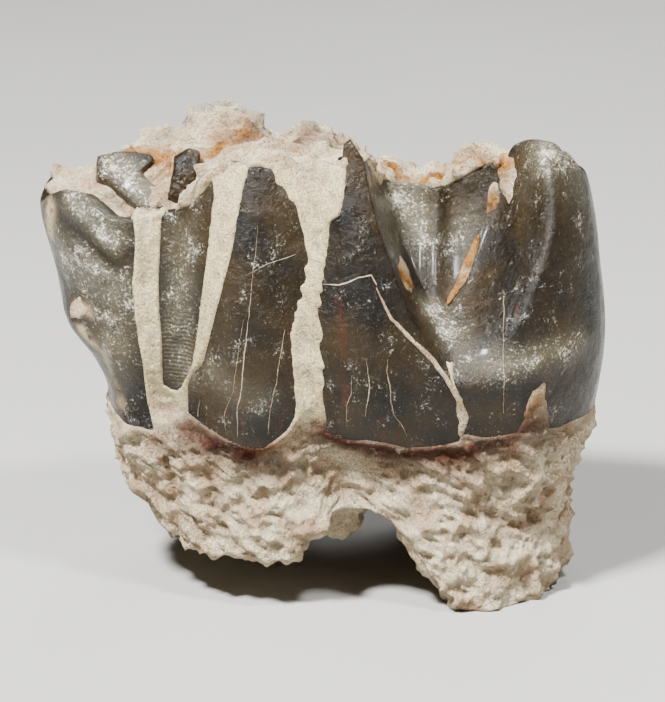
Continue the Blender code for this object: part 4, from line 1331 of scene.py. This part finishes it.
@dataclass(frozen=True)
class StoneFinish:
    """Fossil root and the lime and silt that filled the cracks: weathered, then picked clean.

    It gives the eye a dull cream grit, lightest in the seams, with iron stains of rust and orange and a
    purple-brown band where the enamel ends. The seams' lightness is partly paler stone and partly painted
    light on the lit crown; painted shade darkens the hollows of the relief, the low spots of the lumps and
    the pits of the grit.
    """

    cream: str = "#c8ab8a"
    light: str = "#efdfbc"
    # painted shade for the hollows and the lumps' low spots
    painted_shade: str = "#7a5a44"
    seam_and_light: str = "#fdeab2"
    purple: str = "#45221a"
    orange: str = "#ab6f0b"
    rust: str = "#6e3606"
    grey: str = "#a9a395"
    # painted shade for the pits of the fine grit
    dark: str = "#4a382c"
    clouds: float = 1.6  # millimetres, as all pattern sizes here
    lumps: float = 0.75
    grains: float = 0.22  # real silt is finer than 0.06; drawn coarser, so that it shows as grit
    lump_depth: float = 1.8  # deeper than real, because the view's tones flatten bright stone
    grain_depth: float = 0.7
    specular: float = 0.12

    def build(self) -> bpy.types.Material:
        """Make the material."""
        shader = Shader("pale_stone")
        lumps = shader.noise(self.lumps, 5.0, 0.65, shift=37.0)
        grains = shader.noise(self.grains, 4.0, 0.75, shift=29.0)
        colour = self._stained(shader)
        # Painted shade: darker where the stored relief is low.
        hollow = shader.between(shader.painted("hollow"), 0.0, -1.0)
        colour = shader.blend(shader.times(hollow, 0.25), colour, self.painted_shade)
        # Painted shade in the low spots of the lumps' bump.
        colour = shader.blend(shader.times(shader.between(lumps, 0.5, 0.3), 0.4), colour, self.painted_shade)
        # Painted shade in the pits of the fine grit's bump.
        colour = shader.blend(shader.times(shader.between(grains, 0.45, 0.28), 0.5), colour, self.dark)
        relief = shader.bump(grains, self.grain_depth, 1.0, shader.bump(lumps, self.lump_depth, 1.0))
        roughness = shader.maths("ADD", shader.times(shader.noise(0.5, 3.0), 0.2), 0.74)
        return shader.finish({"Base Color": colour, "Roughness": roughness, "Normal": relief,
                              "Specular IOR Level": self.specular})

    def _stained(self, shader: Shader) -> bpy.types.NodeSocket:
        """Give the stone's colour with its stains, each broken up by noise of its own."""
        colour = shader.blend(shader.between(shader.noise(self.clouds, 5.0, 0.6), 0.35, 0.66),
                              self.cream, self.light)
        # Lighter in the seams: partly the paler stone, partly painted light on the lit crown.
        colour = shader.blend(shader.times(shader.painted("seam_and_light"), 0.7), colour, self.seam_and_light)
        iron = shader.blend(shader.between(shader.noise(0.45, 5.0, 0.7, shift=47.0), 0.45, 0.62),
                            self.orange, self.rust)
        patches = (
            (Tint.GREY, shader.between(shader.noise(0.7, 4.0, shift=13.0), 0.3, 0.6), self.grey),
            (Tint.ORANGE, shader.between(shader.noise(0.7, 5.0, 0.7, shift=17.0), 0.26, 0.48), iron),
            (Tint.PURPLE, shader.between(shader.noise(0.6, 5.0, 0.65, shift=19.0), 0.22, 0.46), self.purple),
        )
        for tint, patchy, over in patches:
            colour = shader.blend(shader.times(shader.painted(tint.value), patchy), colour, over)
        return colour


@dataclass(frozen=True)
class Stain:
    """A soft-edged stain along a run of (x, y, z) places."""

    line: Points
    radius: float
    strength: float = 1.0

    def at(self, points: np.ndarray) -> np.ndarray:
        """Give the stain's strength at points, strength exp(-(d / radius)^2), d the distance to the run."""
        corners = np.array(self.line, float)
        nearest = np.linalg.norm(points - corners[0], axis=1)
        for start, end in zip(corners[:-1], corners[1:]):
            run = end - start
            share = np.clip((points - start) @ run / (run @ run), 0.0, 1.0)
            nearest = np.minimum(nearest, np.linalg.norm(points - start - share[:, None] * run, axis=1))
        return self.strength * np.exp(-((nearest / self.radius) ** 2))


STAINS = {
    # Pale specks and painted sheen on the faces that catch the light: the cleft's back wall, the right lobe's
    # top and the left lobe.
    Tint.HAZE_AND_SHEEN: (
        Stain(((3.9, -1.0, 19.6), (5.0, -1.5, 15.8)), 1.2, 0.8),
        Stain(((5.2, -5.0, 15.0), (6.6, -6.0, 13.0)), 0.9, 0.72),
        Stain(((7.0, -1.4, 18.5), (6.4, -1.6, 16.5)), 0.9, 0.36),
        Stain(((10.2, -4.0, 22.6), (11.4, -1.5, 21.8), (11.6, -2.0, 20.2)), 1.5, 0.8),
        Stain(((9.6, -3.5, 22.4), (10.6, -2.8, 22.9), (11.9, 0.0, 21.9)), 1.0),
        Stain(((12.6, -1.5, 20.0), (13.7, -1.0, 15.0)), 0.8, 0.56),
        Stain(((6.9, -6.6, 12.6), (9.5, -7.3, 13.0), (12.6, -5.0, 13.4)), 0.8, 0.56),
        Stain(((-10.1, -5.5, 18.8), (-12.0, -4.2, 20.2)), 0.8, 0.64),
        Stain(((-10.0, -5.4, 16.0), (-12.2, -3.4, 17.6)), 1.3, 0.72),
        Stain(((-10.0, -5.6, 14.4), (-10.4, -5.0, 12.6)), 1.1, 0.64),
        Stain(((-6.9, -5.9, 19.0), (-6.8, -5.7, 12.0)), 0.9, 0.56),
        Stain(((-9.9, -1.2, 21.4), (-8.6, -2.2, 19.8)), 0.8, 0.72),
        Stain(((-5.2, -7.0, 12.6), (-3.0, -8.0, 11.4)), 0.8, 0.4),
    ),
    Tint.RED: (
        Stain(((10.9, -6.4, 14.9), (10.9, -6.8, 12.5)), 1.8),
        Stain(((2.0, -7.8, 10.5), (1.5, -7.6, 15.0)), 1.4, 0.7),
        Stain(((-3.0, -7.8, 10.5), (-2.4, -7.6, 15.0)), 1.4, 0.7),
    ),
    Tint.PALE: (
        Stain(((-13.2, -2.9, 19.5), (-13.3, -2.7, 18.4)), 0.5),
        Stain(((-11.8, -4.0, 13.7), (-10.9, -4.6, 12.6), (-10.4, -4.5, 11.2),
               (-10.1, -4.1, 9.9)), 0.35, 0.7),
        Stain(((-12.0, -3.7, 14.8), (-11.2, -4.5, 14.7)), 0.3, 0.7),
    ),
    Tint.ROWS: (
        Stain(((-7.0, -5.6, 11.4), (-6.7, -5.6, 14.0)), 1.2),
    ),
    Tint.PURPLE: (
        Stain(((-8.9, -5.6, 8.4), (-7.9, -5.6, 8.2)), 1.0, 0.7),
        Stain(((-6.6, -5.9, 9.1), (-5.6, -6.6, 8.8), (-4.6, -7.3, 8.5), (-3.6, -7.3, 8.4)), 1.15),
        Stain(((-2.9, -7.0, 8.0), (-2.0, -7.0, 7.6)), 0.9, 0.7),
        Stain(((0.2, -7.4, 9.3), (1.3, -7.6, 9.1), (2.9, -7.7, 8.8)), 1.15),
        Stain(((2.9, -7.5, 8.8), (4.4, -7.4, 8.3), (5.9, -7.3, 8.4)), 1.15),
        Stain(((6.4, -7.2, 8.2), (7.6, -7.2, 8.7), (9.0, -7.2, 8.9), (9.9, -7.0, 9.7),
               (12.2, -6.0, 8.8)), 1.05),
        Stain(((-8.0, -5.4, 6.6), (-7.2, -5.4, 6.0)), 0.5, 0.4),
        Stain(((-4.0, -0.4, 22.5), (-3.2, 1.6, 22.4)), 0.6, 0.8),
        Stain(((-1.4, 0.8, 21.9), (-0.4, 1.7, 21.9)), 0.6, 0.9),
    ),
    Tint.ORANGE: (
        Stain(((-3.8, -7.5, 8.6), (-2.6, -7.5, 8.7)), 0.45),
        Stain(((-7.65, -5.5, 7.5), (-7.4, -5.3, 6.4), (-7.2, -5.5, 5.4)), 0.2),
        Stain(((5.9, -7.0, 8.3), (7.0, -6.9, 8.5)), 0.45, 0.9),
        Stain(((10.1, -7.0, 10.4), (10.6, -7.0, 11.4)), 0.45, 0.9),
        Stain(((-9.2, 0.3, 21.3), (-8.2, 0.0, 21.1), (-7.5, -0.4, 21.0), (-6.8, -1.0, 21.1)), 1.0),
        Stain(((-5.9, -0.8, 21.7), (-4.8, 0.2, 22.0), (-3.8, 0.8, 22.4)), 1.0),
        Stain(((-2.6, 0.4, 22.0), (-1.4, -0.8, 21.6)), 0.45, 0.7),
        Stain(((3.0, 1.6, 20.5), (3.7, 0.6, 20.3), (5.4, 0.4, 20.0), (6.6, 0.6, 20.6),
               (8.9, -0.4, 21.1)), 0.65),
        Stain(((8.4, -0.8, 19.4), (7.6, -1.6, 17.7), (6.0, -4.2, 15.0)), 0.6, 0.9),
        Stain(((3.5, -6.6, 17.6), (4.4, -4.8, 16.0)), 0.6),
    ),
    Tint.GREY: (
        Stain(((-8.2, 2.2, 21.6), (-5.6, 2.6, 23.4), (-3.6, 2.4, 22.9), (-2.8, 2.4, 22.0)), 0.6),
        Stain(((-0.9, 2.2, 22.4), (0.4, 2.0, 21.9)), 0.5, 0.9),
        Stain(((-12.9, 0.4, 20.8), (-12.6, -0.6, 20.5)), 0.5, 0.9),
    ),
}


def stain(piece: bpy.types.Object) -> None:
    """Store every stain's strength on a piece's vertices."""
    places = np.empty(len(piece.data.vertices) * 3, np.float32)
    piece.data.vertices.foreach_get("co", places)
    points = places.reshape(-1, 3) / MM + ORIGIN
    for tint in Tint:
        layers = [item.at(points) for item in STAINS[tint]]
        paint(piece, tint.value, np.clip(np.maximum.reduce(layers), 0.0, 1.0))


@dataclass(frozen=True)
class Lamp:
    """A square light: its place and width in millimetres, and its power in watts."""

    name: str
    place: tuple[float, float, float]
    width: float
    power: float

    def build(self, target: Vector) -> None:
        """Make the light, aimed at a target."""
        light = bpy.data.lights.new(self.name, "AREA")
        light.size = self.width * MM
        light.energy = self.power
        made = bpy.data.objects.new(self.name, light)
        made.location = Vector(self.place) * MM
        made.rotation_euler = (target - made.location).to_track_quat("-Z", "Y").to_euler()
        bpy.context.scene.collection.objects.link(made)


@dataclass(frozen=True)
class Studio:
    """A plain pale floor, a few lights and the camera at the photograph's angle."""

    target: tuple[float, float, float] = (0.39, 0.155, 11.29)
    distance: float = 170.0
    elevation: float = 18.0
    pixels_per_mm: float = 20.0
    image: tuple[int, int] = (665, 702)
    clip: tuple[float, float] = (0.01, 10.0)
    floor_size: float = 2000.0
    floor_shades: tuple[str, str] = ("#9b9a96", "#9f9e9a")
    sky: str = "#e0dacd"
    sky_strength: float = 0.06
    lamps: tuple[Lamp, ...] = (
        Lamp("key", (-85.0, -115.0, 225.0), 35.0, 3.3),
        Lamp("second", (70.0, -100.0, 230.0), 30.0, 0.9),
        Lamp("fill", (170.0, -120.0, 90.0), 140.0, 0.04),
        Lamp("rim", (40.0, 150.0, 170.0), 100.0, 0.3),
    )

    def build(self) -> None:
        """Make the floor, the lights and the camera."""
        self._floor()
        for lamp in self.lamps:
            lamp.build(Vector(self.target) * MM)
        world = bpy.data.worlds.new("studio")
        world.use_nodes = True
        background = world.node_tree.nodes["Background"]
        background.inputs["Color"].default_value = linear(self.sky)
        background.inputs["Strength"].default_value = self.sky_strength
        bpy.context.scene.world = world
        self._camera()

    def _floor(self) -> None:
        """Lay the floor, matt paint with the faintest cloudiness."""
        half = self.floor_size / 2 * MM
        corners = [(-half, -half, 0), (half, -half, 0), (half, half, 0), (-half, half, 0)]
        mesh = bpy.data.meshes.new("floor")
        mesh.from_pydata(corners, [], [(0, 1, 2, 3)])
        shader = Shader("studio_floor")
        colour = shader.blend(shader.between(shader.noise(40.0, 2.0), 0.3, 0.7), *self.floor_shades)
        mesh.materials.append(shader.finish({"Base Color": colour, "Roughness": 0.7}))
        floor = bpy.data.objects.new("floor", mesh)
        bpy.context.scene.collection.objects.link(floor)

    def _camera(self) -> None:
        """Set up the camera; its lens gives the pixels per millimetre at the target's distance."""
        lens = bpy.data.cameras.new("camera")
        lens.lens = lens.sensor_width / (max(self.image) / self.pixels_per_mm) * self.distance
        lens.clip_start, lens.clip_end = self.clip
        made = bpy.data.objects.new("camera", lens)
        tilt = np.radians(self.elevation)
        back = Vector((0.0, -np.cos(tilt), np.sin(tilt)))
        made.location = (Vector(self.target) + back * self.distance) * MM
        made.rotation_euler = (-back).to_track_quat("-Z", "Y").to_euler()
        bpy.context.scene.collection.objects.link(made)
        bpy.context.scene.camera = made


def main() -> None:
    """Build the tooth and its studio."""
    logging.basicConfig(level=logging.INFO, format="%(message)s")
    enamel, stone = EnamelFinish().build(), StoneFinish().build()
    pieces = [PaleBody().make(stone), CrackFilling().make(stone)]
    pieces += [part.make(enamel) for part in (*PLATES, *REMAINS)]
    for piece in pieces:
        stain(piece)
        LOG.info("%s: %d vertices", piece.name, len(piece.data.vertices))
    Studio().build()


if __name__ == "__main__":
    main()
